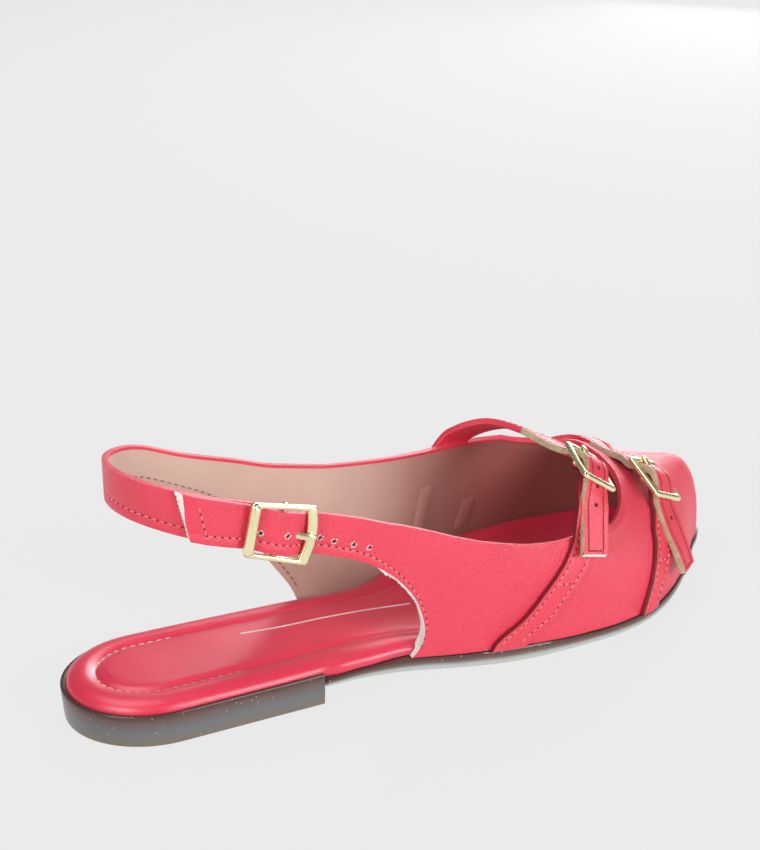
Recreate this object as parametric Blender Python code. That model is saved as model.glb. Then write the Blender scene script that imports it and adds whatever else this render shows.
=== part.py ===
"""Slingback flat shoe for the right foot, with two buckled straps over the throat.

The shoe is drawn in millimetres in a last-maker's frame: x runs from the back of the heel to
the toe, +y is the medial (inner) side, -y the lateral (outer) side, and z is up from the floor.
Everything hangs under one empty, which puts the middle of the shoe's footprint at the origin.
"""

import math

import bmesh
import bpy
import numpy as np

MM = 0.001

# Driving dimensions, in millimetres
GAP = 0.3                 # clearance between pieces that meet
UPPER_WALL = 2.0          # leather and lining together
HEEL_HALF_WIDTH = 27.2
HEEL_LENGTH = 79.0        # back of the heel to its flat front, the breast
HEEL_ROUND = 29.5         # length of the rounded back
HEEL_SEAT_Z = 6.6
HEEL_RIM_Z = 11.3
HEEL_RIM_WALL = 1.0
HEEL_FOOT_INSET = 0.7     # the heel is a little smaller at the floor
HEEL_MEDIAL_TAPER = 2.0   # how much narrower the medial side is at the breast
OUTSOLE_MARGIN = 0.7      # how far the outsole shows round the upper
OUTSOLE_BEVEL = 1.0
INSOLE_EDGE = 8.0         # width of the padded border, which rounds down to the edge
INSOLE_FRONT = 231.0      # last station of the insole, inside the toe

SLING_TURN_X = 44.0       # where the sling starts to turn round the heel
SLING_DEPTH = 24.5        # from there to the back of the loop
THROAT_X = 206.0          # front end of the throat
THROAT_ACROSS = -0.05     # how far the throat's front end lies from the ridge, to the lateral side

# Sections of the last. A section starts at the edge of the sole, the feather, on each side,
# and rises to the ridge. Towards the toe the sections fan out, ahead of their ridge point.
# A bulge is how far that side's wall swells outwards between feather and ridge.
SECTION_COLUMNS = ("ridge_x", "lateral_x", "lateral_y", "medial_x", "medial_y", "feather_z", "ridge_y",
                   "ridge_z", "lateral_fullness", "medial_fullness", "lateral_bulge", "medial_bulge")
SECTIONS = (
    (44.0, 44.0, -26.0, 44.0, 26.0, 11.6, 0.0, 150.0, 3.0, 3.0, 0.5, 0.5),
    (80.0, 80.0, -27.2, 80.0, 25.2, 11.4, 0.5, 140.0, 3.0, 3.0, 0.5, 3.0),
    (105.0, 105.0, -28.3, 105.0, 22.8, 10.6, 2.0, 120.0, 3.0, 3.0, 1.0, 7.0),
    (130.0, 130.0, -30.6, 130.0, 28.8, 7.8, 5.0, 94.0, 2.8, 3.0, 1.2, 5.0),
    (155.0, 155.0, -31.8, 155.0, 38.2, 5.6, 10.0, 75.0, 2.6, 3.0, 1.2, 2.5),
    (175.0, 175.0, -32.0, 175.0, 43.2, 4.6, 14.0, 62.5, 2.4, 3.0, 1.2, 1.2),
    (192.0, 193.0, -30.6, 193.0, 43.6, 4.4, 16.5, 54.0, 2.25, 2.9, 1.2, 1.2),
    (207.0, 209.0, -25.8, 211.0, 40.2, 4.8, 17.5, 48.0, 2.2, 2.6, 1.2, 1.2),
    (218.0, 222.5, -17.0, 227.0, 34.5, 5.6, 17.8, 43.7, 2.2, 2.4, 1.2, 1.2),
    (227.0, 235.5, -5.0, 239.5, 29.0, 6.4, 17.8, 41.2, 2.25, 2.3, 1.0, 1.0),
    (233.0, 245.5, 6.0, 248.0, 24.2, 7.0, 17.6, 40.0, 2.4, 2.35, 0.7, 0.7),
    (235.6, 251.4, 12.0, 252.2, 21.6, 7.3, 17.4, 39.5, 2.5, 2.45, 0.4, 0.4),
    (236.5, 253.4, 14.9, 253.7, 19.6, 7.5, 17.4, 39.3, 2.5, 2.5, 0.2, 0.2),
    (237.0, 254.1, 17.4, 254.1, 17.4, 7.6, 17.4, 39.2, 2.5, 2.5, 0.0, 0.0),
)
TIP = SECTIONS[-1][0]

# The sole's underside along x: heel plane, arch, flat forefoot and toe spring
SOLE_COLUMNS = ("x", "under_z", "edge_z")
SOLE_PROFILE = (
    (0.0, 7.0, 9.0),
    (79.0, 7.0, 9.4),
    (92.0, 7.0, 10.3),
    (105.0, 6.0, 10.3),
    (130.0, 2.6, 7.5),
    (148.0, 0.5, 5.9),
    (160.0, 0.0, 5.1),
    (175.0, 0.0, 4.3),
    (192.0, 0.0, 4.1),
    (212.0, 1.0, 4.7),
    (232.0, 2.4, 5.65),
    (255.0, 4.2, 7.3),
)

# Edges of the upper's pattern. A row is one line across the wall, from its lower to its upper
# edge: x and z of both ends, and how far the wall stands off the last there.
EDGE_COLUMNS = ("lower_x", "lower_z", "upper_x", "upper_z", "lift")
FEATHER = 0.0             # a lower_z that means the edge of the sole
LATERAL_STRAP_EDGE = (
    (35.6, 69.0, 32.4, 85.4, 2.4),
    (46.0, 65.4, 44.5, 81.0, 2.4),
    (53.5, 62.8, 55.5, 76.8, 1.55),
    (62.4, 59.7, 66.6, 72.9, 3.5),
    (66.4, 58.4, 70.4, 71.6, 3.0),
    (73.0, 56.5, 76.0, 69.7, 0.1),
    (85.0, 52.6, 85.0, 66.9, 0.0),
    (96.0, 47.4, 94.0, 63.8, 0.0),
    (105.0, 40.2, 101.0, 60.9, 0.0),
    (111.0, 32.2, 107.0, 58.8, 0.0),
    (114.1, 23.0, 116.0, 55.3, 0.0),
    (114.3, 17.5, 126.0, 51.0, 0.0),
    (112.4, 12.9, 136.0, 47.2, 0.0),
    (110.0, 10.1, 146.0, 44.1, 0.0),
)
LATERAL_VAMP_EDGE = (
    (110.0, FEATHER, 146.0, 44.1, 0.0),
    (130.0, FEATHER, 153.0, 42.3, 0.0),
    (150.0, FEATHER, 160.0, 41.1, 0.0),
    (166.0, FEATHER, 168.0, 40.2, 0.0),
    (180.0, FEATHER, 178.0, 40.0, 0.0),
)
MEDIAL_VAMP_EDGE = (
    (186.0, FEATHER, 181.0, 52.4, 0.0),
    (170.0, FEATHER, 168.0, 51.6, 0.0),
    (150.0, FEATHER, 150.0, 52.0, 0.0),
    (124.0, FEATHER, 128.0, 54.4, 0.0),
    (93.0, FEATHER, 106.0, 58.0, 0.0),
)
MEDIAL_STRAP_EDGE = (
    (93.0, 10.8, 106.0, 58.0, 0.0),
    (90.0, 18.0, 100.0, 59.4, 0.0),
    (83.5, 28.0, 93.0, 61.2, 0.0),
    (76.0, 40.5, 84.0, 63.6, 0.0),
    (65.0, 52.5, 71.0, 68.2, 0.0),
    (52.0, 60.5, 54.0, 74.6, 0.0),
    (38.0, 67.0, 38.0, 81.0, 0.0),
    (22.0, 71.2, 22.0, 84.6, 0.0),
    (5.5, 73.2, 5.5, 86.8, 0.0),
    (-13.0, 72.0, -13.0, 86.2, 0.0),
    (-24.0, 69.3, -24.0, 84.0, 0.0),
    (-33.0, 66.4, -33.0, 81.0, 0.0),
    (-45.0, 62.2, -45.0, 76.8, -0.7),
)


# Curves and sections

def curve(keys, values, at):
    """Smooth curve through rows of values, read at the given keys."""
    keys = np.asarray(keys, float)
    values = np.asarray(values, float).reshape(len(keys), -1)
    at = np.atleast_1d(np.asarray(at, float))
    slopes = np.gradient(values, keys, axis=0)
    row = np.clip(np.searchsorted(keys, at, side="right") - 1, 0, len(keys) - 2)
    span = (keys[row + 1] - keys[row])[:, None]
    share = (at[:, None] - keys[row][:, None]) / span
    rest = 1 - share
    return (values[row] * (1 + 2 * share) * rest**2 + values[row + 1] * (3 - 2 * share) * share**2
            + slopes[row] * span * share * rest**2 - slopes[row + 1] * span * share**2 * rest)


def section(at):
    """Columns of the last's section with that ridge_x, as a dict of arrays."""
    table = np.array(SECTIONS)
    flat = np.clip(np.ravel(at), SLING_TURN_X, TIP)
    found = curve(table[:, 0], table, flat)
    return {name: found[:, i].reshape(np.shape(at)) for i, name in enumerate(SECTION_COLUMNS)}


def sole_z(x):
    """Underside of the outsole and top of its edge at x. The forefoot lies flat on the floor."""
    table = np.array(SOLE_PROFILE)
    found = curve(table[:, 0], table[:, 1:], np.clip(x, table[0, 0], table[-1, 0]))
    return np.maximum(found[:, 0], 0.0), found[:, 1]


def across_at(side, x, z):
    """Place across the wall, -1 at the lateral feather to 0 at the ridge to 1 at the medial feather."""
    cut = section(x)
    rise = np.clip((z - cut["feather_z"]) / (cut["ridge_z"] - cut["feather_z"]), 0, 1)
    fullness = cut["lateral_fullness" if side < 0 else "medial_fullness"]
    return side * (1 - np.arcsin(rise ** (fullness / 2)) * 2 / math.pi)


def wall(x, across):
    """Point on the last at the section x and the place across it.

    Behind the sling's turn, x counts on along the loop round the heel.
    """
    x, across = np.broadcast_arrays(np.asarray(x, float), np.asarray(across, float))
    cut = section(x)
    lateral = across < 0
    feather_x = np.where(lateral, cut["lateral_x"], cut["medial_x"])
    feather_y = np.where(lateral, cut["lateral_y"], cut["medial_y"])
    bulge = np.where(lateral, -cut["lateral_bulge"], cut["medial_bulge"])
    power = 2 / np.where(lateral, cut["lateral_fullness"], cut["medial_fullness"])
    angle = (1 - np.abs(across)) * math.pi / 2
    out = np.cos(angle).clip(0) ** power
    up = np.sin(angle).clip(0) ** power
    along = cut["ridge_x"] + (feather_x - cut["ridge_x"]) * out
    aside = cut["ridge_y"] + (feather_y - cut["ridge_y"]) * out + bulge * np.sin(2 * angle)
    height = cut["feather_z"] + (cut["ridge_z"] - cut["feather_z"]) * up
    turn = np.clip((SLING_TURN_X - x) / SLING_DEPTH, 0, math.pi)
    past = np.clip(SLING_TURN_X - math.pi * SLING_DEPTH - x, 0, None)
    along = along - SLING_DEPTH * np.sin(turn) + past
    return np.stack([along, aside * np.cos(turn), height], -1)


def outward(x, across):
    """Unit normal of the last's surface, away from the foot. Both sides agree at the toe's tip."""
    step_x, step = 0.05, 0.002
    x, across = np.broadcast_arrays(np.asarray(x, float), np.asarray(across, float))
    near_x = np.minimum(x, TIP - 2 * step_x)
    near = np.clip(across, -1 + 2 * step, 1 - 2 * step)

    def one(place):
        ahead = wall(near_x + step_x, place) - wall(near_x - step_x, place)
        over = wall(near_x, place + step) - wall(near_x, place - step)
        return unit(np.cross(ahead, over))

    normal = one(near)
    return np.where((x > TIP - step_x)[..., None], unit(normal + one(-near)), normal)


def unit(vector):
    vector = np.asarray(vector, float)
    return vector / np.linalg.norm(vector, axis=-1, keepdims=True)


# Meshes

def leather(name, colour, roughness, metallic=0.0):
    """A plain finish: colour, roughness and metallic value."""
    material = bpy.data.materials.new(name)
    material.use_nodes = True
    shader = material.node_tree.nodes["Principled BSDF"]
    shader.inputs["Base Color"].default_value = (*colour, 1)
    shader.inputs["Roughness"].default_value = roughness
    shader.inputs["Metallic"].default_value = metallic
    return material


def solid(name, points, faces, material, parent):
    """A mesh object from millimetre points, with doubled points joined and its faces turned out."""
    mesh = bpy.data.meshes.new(name)
    mesh.from_pydata([tuple(p * MM for p in point) for point in points], [], faces)
    made = bpy.data.objects.new(name, mesh)
    bpy.context.scene.collection.objects.link(made)
    made.parent = parent
    if material:
        mesh.materials.append(material)
    weld(mesh)
    mesh.shade_smooth()
    mesh.set_sharp_from_angle(angle=math.radians(40))
    return made


def weld(mesh):
    """Joins points that coincide, drops collapsed faces and turns the faces outwards."""
    work = bmesh.new()
    work.from_mesh(mesh)
    bmesh.ops.remove_doubles(work, verts=work.verts, dist=1e-6)
    bmesh.ops.dissolve_degenerate(work, edges=work.edges, dist=1e-7)
    bmesh.ops.recalc_face_normals(work, faces=work.faces)
    if work.calc_volume(signed=True) < 0:
        bmesh.ops.reverse_faces(work, faces=work.faces)
    work.to_mesh(mesh)
    work.free()


def strip_faces(rows, columns, start=0, closed=False):
    """Quads of a grid of points stored row after row. A closed grid joins its last column to its first."""
    last = columns if closed else columns - 1
    return [
        (start + i * columns + j, start + i * columns + (j + 1) % columns,
         start + (i + 1) * columns + (j + 1) % columns, start + (i + 1) * columns + j)
        for i in range(rows - 1) for j in range(last)
    ]


def sweep(name, rings, material, parent):
    """A bar whose cross-sections are the given rings of points, with flat ends."""
    rings = np.asarray(rings)
    rows, columns = rings.shape[:2]
    faces = strip_faces(rows, columns, closed=True)
    faces.append(tuple(range(columns)))
    faces.append(tuple(range((rows - 1) * columns, rows * columns)))
    return solid(name, rings.reshape(-1, 3), faces, material, parent)


def hide_cutter(cutter):
    cutter.hide_render = True
    cutter.display_type = "WIRE"


def boolean(made, other, operation):
    modifier = made.modifiers.new(operation.lower() + "_" + other.name, "BOOLEAN")
    modifier.operation = operation
    modifier.object = other
    modifier.solver = "EXACT"


# Outline of the sole

def outline(stations, inset):
    """Lateral and medial points of the sole's outline at the stations, moved inwards by inset.

    A station is a ridge_x ahead of the heel. Behind the sling's turn it is x on the rounded heel.
    """
    stations = np.asarray(stations, float)
    cut = section(stations)
    back = np.clip(1 - stations / HEEL_ROUND, 0, 1)
    heel = HEEL_HALF_WIDTH * np.sqrt(1 - back**2)
    sides = []
    for side, name in ((-1, "lateral"), (1, "medial")):
        x = np.where(stations < HEEL_LENGTH, stations, cut[name + "_x"])
        ahead = side * cut[name + "_y"]
        taper = HEEL_MEDIAL_TAPER * np.clip((stations - HEEL_ROUND) / (HEEL_LENGTH - HEEL_ROUND), 0, 1) ** 2
        behind = heel - (taper if side > 0 else 0)
        y = side * np.where(stations < HEEL_LENGTH, behind, ahead)
        sides.append(np.stack([x, y], -1))
    loop = np.concatenate([sides[0], sides[1][::-1]])
    ahead = np.roll(loop, -1, 0) - np.roll(loop, 1, 0)
    ends = (0, len(stations) - 1, len(stations), len(loop) - 1)
    ahead[[ends[0], ends[3]]] = (0.0, -1.0)
    if stations[-1] == TIP:
        ahead[[ends[1], ends[2]]] = loop[ends[2] + 1] - loop[ends[1] - 1]
    else:
        ahead[ends[1]] = loop[ends[1]] - loop[ends[1] - 1]
        ahead[ends[2]] = loop[ends[2] + 1] - loop[ends[2]]
    inward = unit(np.stack([-ahead[:, 1], ahead[:, 0]], -1))
    loop = loop + inward * np.reshape(inset, (-1, 1))
    return loop[:len(stations)], loop[len(stations):][::-1]


def stations_along(first, last, count, crowd_back, crowd_tip):
    """Stations from first to last, crowded where the outline turns at the back and at the toe."""
    share = np.linspace(0, 1, count)
    if crowd_back:
        share = np.where(share < 0.5, 2 * share**2, share)
    if crowd_tip:
        share = np.where(share > 0.5, 1 - 2 * (1 - share) ** 2, share)
    return first + (last - first) * share


def slab(name, rings, material, parent):
    """A closed slab between rings. A ring is (lateral points, medial points) from heel to toe."""
    count = len(rings[0][0])
    loops = [np.concatenate([lateral, medial[::-1]]) for lateral, medial in rings]
    points = np.concatenate(loops)
    around = 2 * count
    faces = strip_faces(len(loops), around, closed=True)
    for start in (0, (len(loops) - 1) * around):
        for i in range(count - 1):
            faces.append((start + i, start + i + 1, start + around - 2 - i, start + around - 1 - i))
    return solid(name, points, faces, material, parent)


def at_height(pair, heights):
    """Outline points given a height each."""
    return tuple(np.column_stack([side, height]) for side, height in zip(pair, heights))


# Sole and heel

def make_outsole(material, parent):
    """Full-length outsole. Its rear lies on the heel's seat, inside the heel's rim."""
    rear = stations_along(0.0, HEEL_LENGTH + GAP, 18, True, False)
    front = stations_along(HEEL_LENGTH + 2 * GAP, TIP, 40, False, True)
    stations = np.concatenate([rear, front])
    hidden = HEEL_RIM_WALL + GAP
    inset = np.concatenate([np.full(len(rear), hidden), np.full(len(front), -OUTSOLE_MARGIN)])
    inset = np.concatenate([inset, inset[::-1]])
    bevel = np.concatenate([np.zeros(len(rear)), np.full(len(front), OUTSOLE_BEVEL)])
    bevel = np.concatenate([bevel, bevel[::-1]])
    wide = outline(stations, inset)
    narrow = outline(stations, inset + bevel)
    rings = []
    for pair, level in ((narrow, 0.0), (wide, 0.35), (wide, 1.0)):
        heights = []
        for side in pair:
            under, edge = sole_z(side[:, 0])
            heights.append(under + (edge - under) * level)
        rings.append(at_height(pair, heights))
    return slab("outsole", rings, material, parent)


def make_heel(material, parent):
    """Low block heel with a flat breast and a thin rim that stands round the insole."""
    stations = stations_along(0.0, HEEL_LENGTH, 24, True, False)

    def arc(inset):
        lateral, medial = outline(np.maximum(stations, 0.0), inset)
        loop = np.concatenate([lateral[::-1], medial[1:]])
        loop[[0, -1], 0] = HEEL_LENGTH
        return loop

    levels = (
        (HEEL_FOOT_INSET + 0.6, 0.0),
        (HEEL_FOOT_INSET, 0.6),
        (0.0, HEEL_RIM_Z - 0.4),
        (0.3, HEEL_RIM_Z),
        (HEEL_RIM_WALL, HEEL_RIM_Z),
        (HEEL_RIM_WALL, HEEL_SEAT_Z),
    )
    rings = [np.column_stack([arc(inset), np.full(2 * len(stations) - 1, z)]) for inset, z in levels]
    around = len(rings[0])
    faces = strip_faces(len(rings), around)
    faces.append(tuple(range(around)))
    faces.append(tuple(range((len(rings) - 1) * around, len(rings) * around)))
    breast = [i * around for i in range(len(rings))]
    breast += [i * around + around - 1 for i in reversed(range(len(rings)))]
    faces.append(tuple(breast))
    return solid("heel", np.concatenate(rings), faces, material, parent)


def insole_inset(stations):
    """Inset of the insole from the sole's outline: inside the rim, full at the waist, inside the upper."""
    rim, waist, upper = HEEL_RIM_WALL + GAP, 0.5, UPPER_WALL + 0.6
    breast = HEEL_LENGTH + GAP
    lateral = np.interp(stations, (breast, breast + 3, 102, 107), (rim, waist, waist, upper))
    medial = np.interp(stations, (breast, breast + 3, 86, 90), (rim, waist, waist + 0.4, upper))
    return np.concatenate([lateral, medial[::-1]])


def make_insole(material, parent):
    """Padded insole with a domed border. It fills the heel's rim and lies inside the upper."""
    stations = np.concatenate([stations_along(0.0, HEEL_LENGTH + GAP, 18, True, False),
                               stations_along(HEEL_LENGTH + 3, INSOLE_FRONT, 34, False, False)])
    inset = insole_inset(stations)
    thick = curve((0, 60, 90, 110, 140, 260), (5.7, 5.5, 4.5, 4.0, 3.2, 3.0), stations)[:, 0]
    border = np.interp(stations, (110, 200, INSOLE_FRONT), (1, 0.6, 0.25)) * INSOLE_EDGE
    border = np.concatenate([border, border[::-1]])
    rings = []
    for share, level in ((0.0, 0.0), (0.0, 0.4), (0.12, 0.62), (0.4, 0.85), (1.0, 1.0)):
        pair = outline(stations, inset + border * share)
        heights = [sole_z(side[:, 0])[1] + GAP + thick * level for side in pair]
        rings.append(at_height(pair, heights))
    return slab("insole", rings, material, parent)


# Upper

def edge_rows(table, count):
    """Rows of an edge table, read at even steps along the upper edge."""
    table = np.array(table)
    steps = np.linalg.norm(np.diff(table[:, :4], axis=0), axis=1)
    along = np.concatenate([[0], np.cumsum(steps)])
    return curve(along, table, np.linspace(0, along[-1], count))


def pattern_grid(side, rows, count):
    """Grid of (x, across) over the wall for rows of an edge table, straight from edge to edge."""
    lower_x, lower_z, upper_x, upper_z = rows[:, :4].T
    low = np.where(lower_z <= FEATHER, section(lower_x)["feather_z"], lower_z)
    step = np.linspace(0, 1, count)
    x = lower_x[:, None] + (upper_x - lower_x)[:, None] * step
    return x, across_at(side, x, low[:, None] + (upper_z - low)[:, None] * step)


def throat_grid(side, knee, count_round, count_vamp, columns):
    """Grid of (x, across) from the knee of the topline round the throat, then on to the toe.

    The throat is a quarter ellipse on the flat pattern: it leaves the topline along the foot and
    meets the vamp's middle line square on.
    """
    lower_x, _, knee_x, knee_z, _ = knee
    knee_across = across_at(side, np.array(knee_x), np.array(knee_z))
    turn = np.linspace(0, math.pi / 2, count_round + 1)[1:]
    top_x = knee_x + (THROAT_X - knee_x) * np.sin(turn)
    top = knee_across + (THROAT_ACROSS - knee_across) * (1 - np.cos(turn))
    low_x = lower_x + (THROAT_X - lower_x) * np.linspace(0, 1, count_round + 1)[1:]
    turn = np.linspace(0, math.pi / 2, count_vamp + 1)[1:]
    vamp = THROAT_X + (TIP - THROAT_X) * np.sin(turn)
    top_x = np.concatenate([top_x, vamp])
    low_x = np.concatenate([low_x, vamp])
    top = np.concatenate([top, THROAT_ACROSS * np.cos(turn) ** 2])
    step = np.linspace(0, 1, columns)
    return low_x[:, None] + (top_x - low_x)[:, None] * step, side + (top - side)[:, None] * step


def sheet(grid, lift):
    """Outer and inner points of the wall over a grid of (x, across)."""
    normal = outward(*grid)
    outer = wall(*grid) + normal * np.reshape(lift, (-1, 1, 1))
    return outer, outer - normal * UPPER_WALL


def make_upper(material, parent, sling_loop):
    """One hollow wall: vamp, lateral wing and strap, medial wing and sling with its buckle loop."""
    columns = 8
    lateral = np.concatenate([edge_rows(LATERAL_STRAP_EDGE, 34)[:-1], edge_rows(LATERAL_VAMP_EDGE, 13)])
    medial = np.concatenate([edge_rows(MEDIAL_STRAP_EDGE[::-1], 44)[:-1],
                             edge_rows(MEDIAL_VAMP_EDGE[::-1], 15)])
    rounding, vamp = 9, 15
    halves = []
    for side, rows in ((-1, lateral), (1, medial)):
        flat = pattern_grid(side, rows, columns)
        front = throat_grid(side, rows[-1], rounding, vamp, columns)
        grid = tuple(np.concatenate(pair) for pair in zip(flat, front))
        lift = np.concatenate([rows[:, 4], np.zeros(rounding + vamp)])
        halves.append(sheet(grid, lift))
    loop_outer, loop_inner = sling_loop(columns)
    halves[1] = (np.concatenate([loop_outer, halves[1][0]]), np.concatenate([loop_inner, halves[1][1]]))

    points, faces = [], []
    for outer, inner in halves:
        rows = len(outer)
        start = sum(len(block) for block in points)
        second = start + rows * columns
        points += [outer.reshape(-1, 3), inner.reshape(-1, 3)]
        faces += strip_faces(rows, columns, start) + strip_faces(rows, columns, second)
        open_top = rows - vamp
        rim = [(i * columns, (i + 1) * columns) for i in range(rows - 1)]
        rim += [(i * columns + columns - 1, (i + 1) * columns + columns - 1) for i in range(open_top - 1)]
        rim += [(j, j + 1) for j in range(columns - 1)]
        faces += [(start + a, start + b, second + b, second + a) for a, b in rim]
    return solid("upper", np.concatenate(points), faces, material, parent)


# Straps, tabs and buckles

STRAP_WIDTH = 10.2
STRAP_THICK = 2.2
TAB_THICK = 1.4
BAR_RADIUS = 0.9
FRAME_WIDE = 2.2
FRAME_THICK = 2.0
PRONG_WIDE = 2.2
PRONG_THICK = 1.2
SEWN_LIFT = GAP + 0.25    # a sewn band's underside above the wall, at its edges


class Seat:
    """Where a buckle sits: its centre bar's middle and three directions.

    ahead runs along the free strap as it passes through, out is away from the foot, and width
    runs along the bar.
    """

    def __init__(self, bar, ahead, out, half_length, half_width, frame_lift, frame_tilt=0.0):
        self.bar = np.asarray(bar, float)
        self.ahead = unit(ahead)
        self.out = unit(np.asarray(out, float) - np.dot(out, self.ahead) * self.ahead)
        self.width = np.cross(self.ahead, self.out)
        self.half_length, self.half_width = half_length, half_width
        self.frame_lift, self.frame_tilt = frame_lift, frame_tilt

    def at(self, ahead, out, width=0.0):
        ahead, out, width = np.broadcast_arrays(*(np.asarray(v, float) for v in (ahead, out, width)))
        return (self.bar + ahead[..., None] * self.ahead + out[..., None] * self.out
                + width[..., None] * self.width)

    def frame_out(self, ahead):
        return self.frame_lift + self.frame_tilt * np.asarray(ahead, float)


def path_rows(points, widths, count):
    """Even steps along a smooth path: points, tangents and width directions square to them."""
    points = np.asarray(points, float)
    along = np.concatenate([[0], np.cumsum(np.linalg.norm(np.diff(points, axis=0), axis=1))])
    at = np.linspace(0, along[-1], count)
    middle = curve(along, points, at)
    tangent = unit(np.gradient(middle, axis=0))
    width = curve(along, widths, at)
    width = unit(width - (width * tangent).sum(1, keepdims=True) * tangent)
    return middle, tangent, width


def band_rings(points, widths, count, wide, thick, turn=1):
    """Rectangular rings of a leather band along a path. turn is -1 where width runs the other way."""
    middle, tangent, width = path_rows(points, widths, count)
    out = np.cross(tangent, width) * turn
    corners = ((-1, -1), (1, -1), (1, 1), (-1, 1))
    return np.stack([middle + width * (a * wide / 2) + out * (b * thick / 2) for a, b in corners], 1)


def sewn_rings(rows, count, thick):
    """Rings of a band sewn down on the upper, from rows of its rear and front edges on the wall.

    A row is rear_x, rear_across, front_x, front_across. The first row follows the feather.
    """
    rows = np.array(rows)
    rows = curve(np.arange(len(rows)), rows, np.linspace(0, len(rows) - 1, count))
    rings = []
    for rear_x, rear_across, front_x, front_across in rows:
        rear, front = wall_row(rear_x, rear_across, 0), wall_row(front_x, front_across, 0)
        rear_out, front_out = outward(rear_x, rear_across), outward(front_x, front_across)
        low, high = SEWN_LIFT, SEWN_LIFT + thick
        rings.append([rear + rear_out * low, front + front_out * low,
                      front + front_out * high, rear + rear_out * high])
    return np.array(rings)


def ring_middle(ring):
    return np.mean(ring, 0)


def wall_row(x, across, lift):
    """A point that far off the upper's outside, at a section x and a place across it."""
    return wall(x, across) + outward(x, across) * lift


def strap_wave(seat, strap_out):
    """The strap's way through a buckle: under the frame, over the bar, under the frame."""
    reach = seat.half_length
    under = [float(seat.frame_out(a)) - FRAME_THICK / 2 - 1.15 - STRAP_THICK / 2 for a in (-reach, reach)]
    return [seat.at(-reach, under[0]), seat.at(-reach * 0.42, strap_out * 0.7), seat.at(0.0, strap_out),
            seat.at(reach * 0.42, strap_out * 0.7), seat.at(reach, under[1])]


def loop_path(seat, thick, reach, start_out):
    """Middle line of a leather end folded round the bar: over it, round, and back underneath."""
    radius = BAR_RADIUS + GAP + thick / 2
    turns = np.radians(np.linspace(70, 270, 9))
    arc = [seat.at(radius * math.cos(a), radius * math.sin(a)) for a in turns]
    back = [seat.at(reach * 0.5, -radius - thick * 0.35), seat.at(reach, start_out - thick - 2 * GAP)]
    return arc + back


def make_prong(name, seat, material, parent, grow=0.0):
    """Prong hooked round the bar. It rises through the strap and rests on the frame's far side."""
    radius = BAR_RADIUS + GAP + PRONG_THICK / 2
    rest_out = float(seat.frame_out(-seat.half_length)) + FRAME_THICK / 2 + GAP + PRONG_THICK / 2
    turns = np.linspace(math.radians(-75) - grow / radius, math.pi / 2, 8)
    path = [seat.at(radius * math.cos(a), radius * math.sin(a)) for a in turns]
    path += [seat.at(-seat.half_length * 0.55, rest_out * 0.62 + radius * 0.38),
             seat.at(-seat.half_length, rest_out), seat.at(-seat.half_length - 1.1 - grow, rest_out - 0.1)]
    widths = [seat.width] * len(path)
    rings = band_rings(path, widths, 26, PRONG_WIDE + 2 * grow, PRONG_THICK + 2 * grow)
    return sweep(name, rings, material, parent)


def make_frame(name, seat, material, parent):
    """Buckle frame: a rounded rectangle of bar stock with a staple-shaped centre bar between its rails."""
    corner, per_corner, sides = 2.2, 5, 8
    path = []
    for quarter in range(4):
        turn = quarter * math.pi / 2
        sign_a = 1 if quarter in (0, 3) else -1
        sign_w = 1 if quarter in (0, 1) else -1
        for step in range(per_corner):
            angle = turn + step / (per_corner - 1) * math.pi / 2
            path.append((sign_a * (seat.half_length - corner) + corner * math.cos(angle),
                         sign_w * (seat.half_width - corner) + corner * math.sin(angle)))
    path = np.array(path)
    ahead = unit(np.roll(path, -1, 0) - np.roll(path, 1, 0))
    aside = np.stack([ahead[:, 1], -ahead[:, 0]], -1)
    rings = []
    for (a, w), (normal_a, normal_w) in zip(path, aside):
        ring = []
        for k in range(sides):
            angle = (k + 0.5) * 2 * math.pi / sides
            flat = FRAME_WIDE / 2 * math.cos(angle) / math.cos(math.pi / sides)
            rise = FRAME_THICK / 2 * math.sin(angle) / math.cos(math.pi / sides)
            place = a + normal_a * flat
            ring.append(seat.at(place, float(seat.frame_out(a)) + rise, w + normal_w * flat))
        rings.append(ring)
    rings = np.array(rings)
    count = len(rings)
    faces = strip_faces(count, sides, closed=True)
    faces += [((count - 1) * sides + j, (count - 1) * sides + (j + 1) % sides, (j + 1) % sides, j)
              for j in range(sides)]
    frame = solid(name, rings.reshape(-1, 3), faces, material, parent)

    rail, top = seat.half_width, float(seat.frame_out(0))
    bend = min(1.2, 0.55 * top)
    staple = [(rail, top), (rail, bend), (rail - bend, 0.0),
              (-rail + bend, 0.0), (-rail, bend), (-rail, top)]
    rings = []
    for i, (w, out) in enumerate(staple):
        before, after = staple[max(i - 1, 0)], staple[min(i + 1, len(staple) - 1)]
        along = unit(np.array(after) - np.array(before))
        ring = []
        for k in range(sides):
            angle = (k + 0.5) * 2 * math.pi / sides
            side_step = BAR_RADIUS * math.sin(angle)
            ring.append(seat.at(BAR_RADIUS * math.cos(angle), out + along[0] * side_step,
                                w - along[1] * side_step))
        rings.append(ring)
    bar = sweep(name + "_bar", rings, None, parent)
    hide_cutter(bar)
    boolean(frame, bar, "UNION")
    return frame


def make_band(name, foot, points, widths, count, thick, turn, material, parent):
    """A strap or tab: its sewn foot, then its free run along the points.

    The free run starts at the first ring that is wholly past the foot's last one.
    """
    points = [ring_middle(foot[-1])] + list(points)
    widths = [unit(foot[-1][1] - foot[-1][0])] + list(widths)
    free = band_rings(points, widths, count, STRAP_WIDTH, thick, turn)
    ahead = unit(ring_middle(free[2]) - points[0])
    past = [((ring - foot[-1]) @ ahead).min() > 0.6 for ring in free]
    return sweep(name, np.concatenate([foot, free[past.index(True):]]), material, parent)


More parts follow.
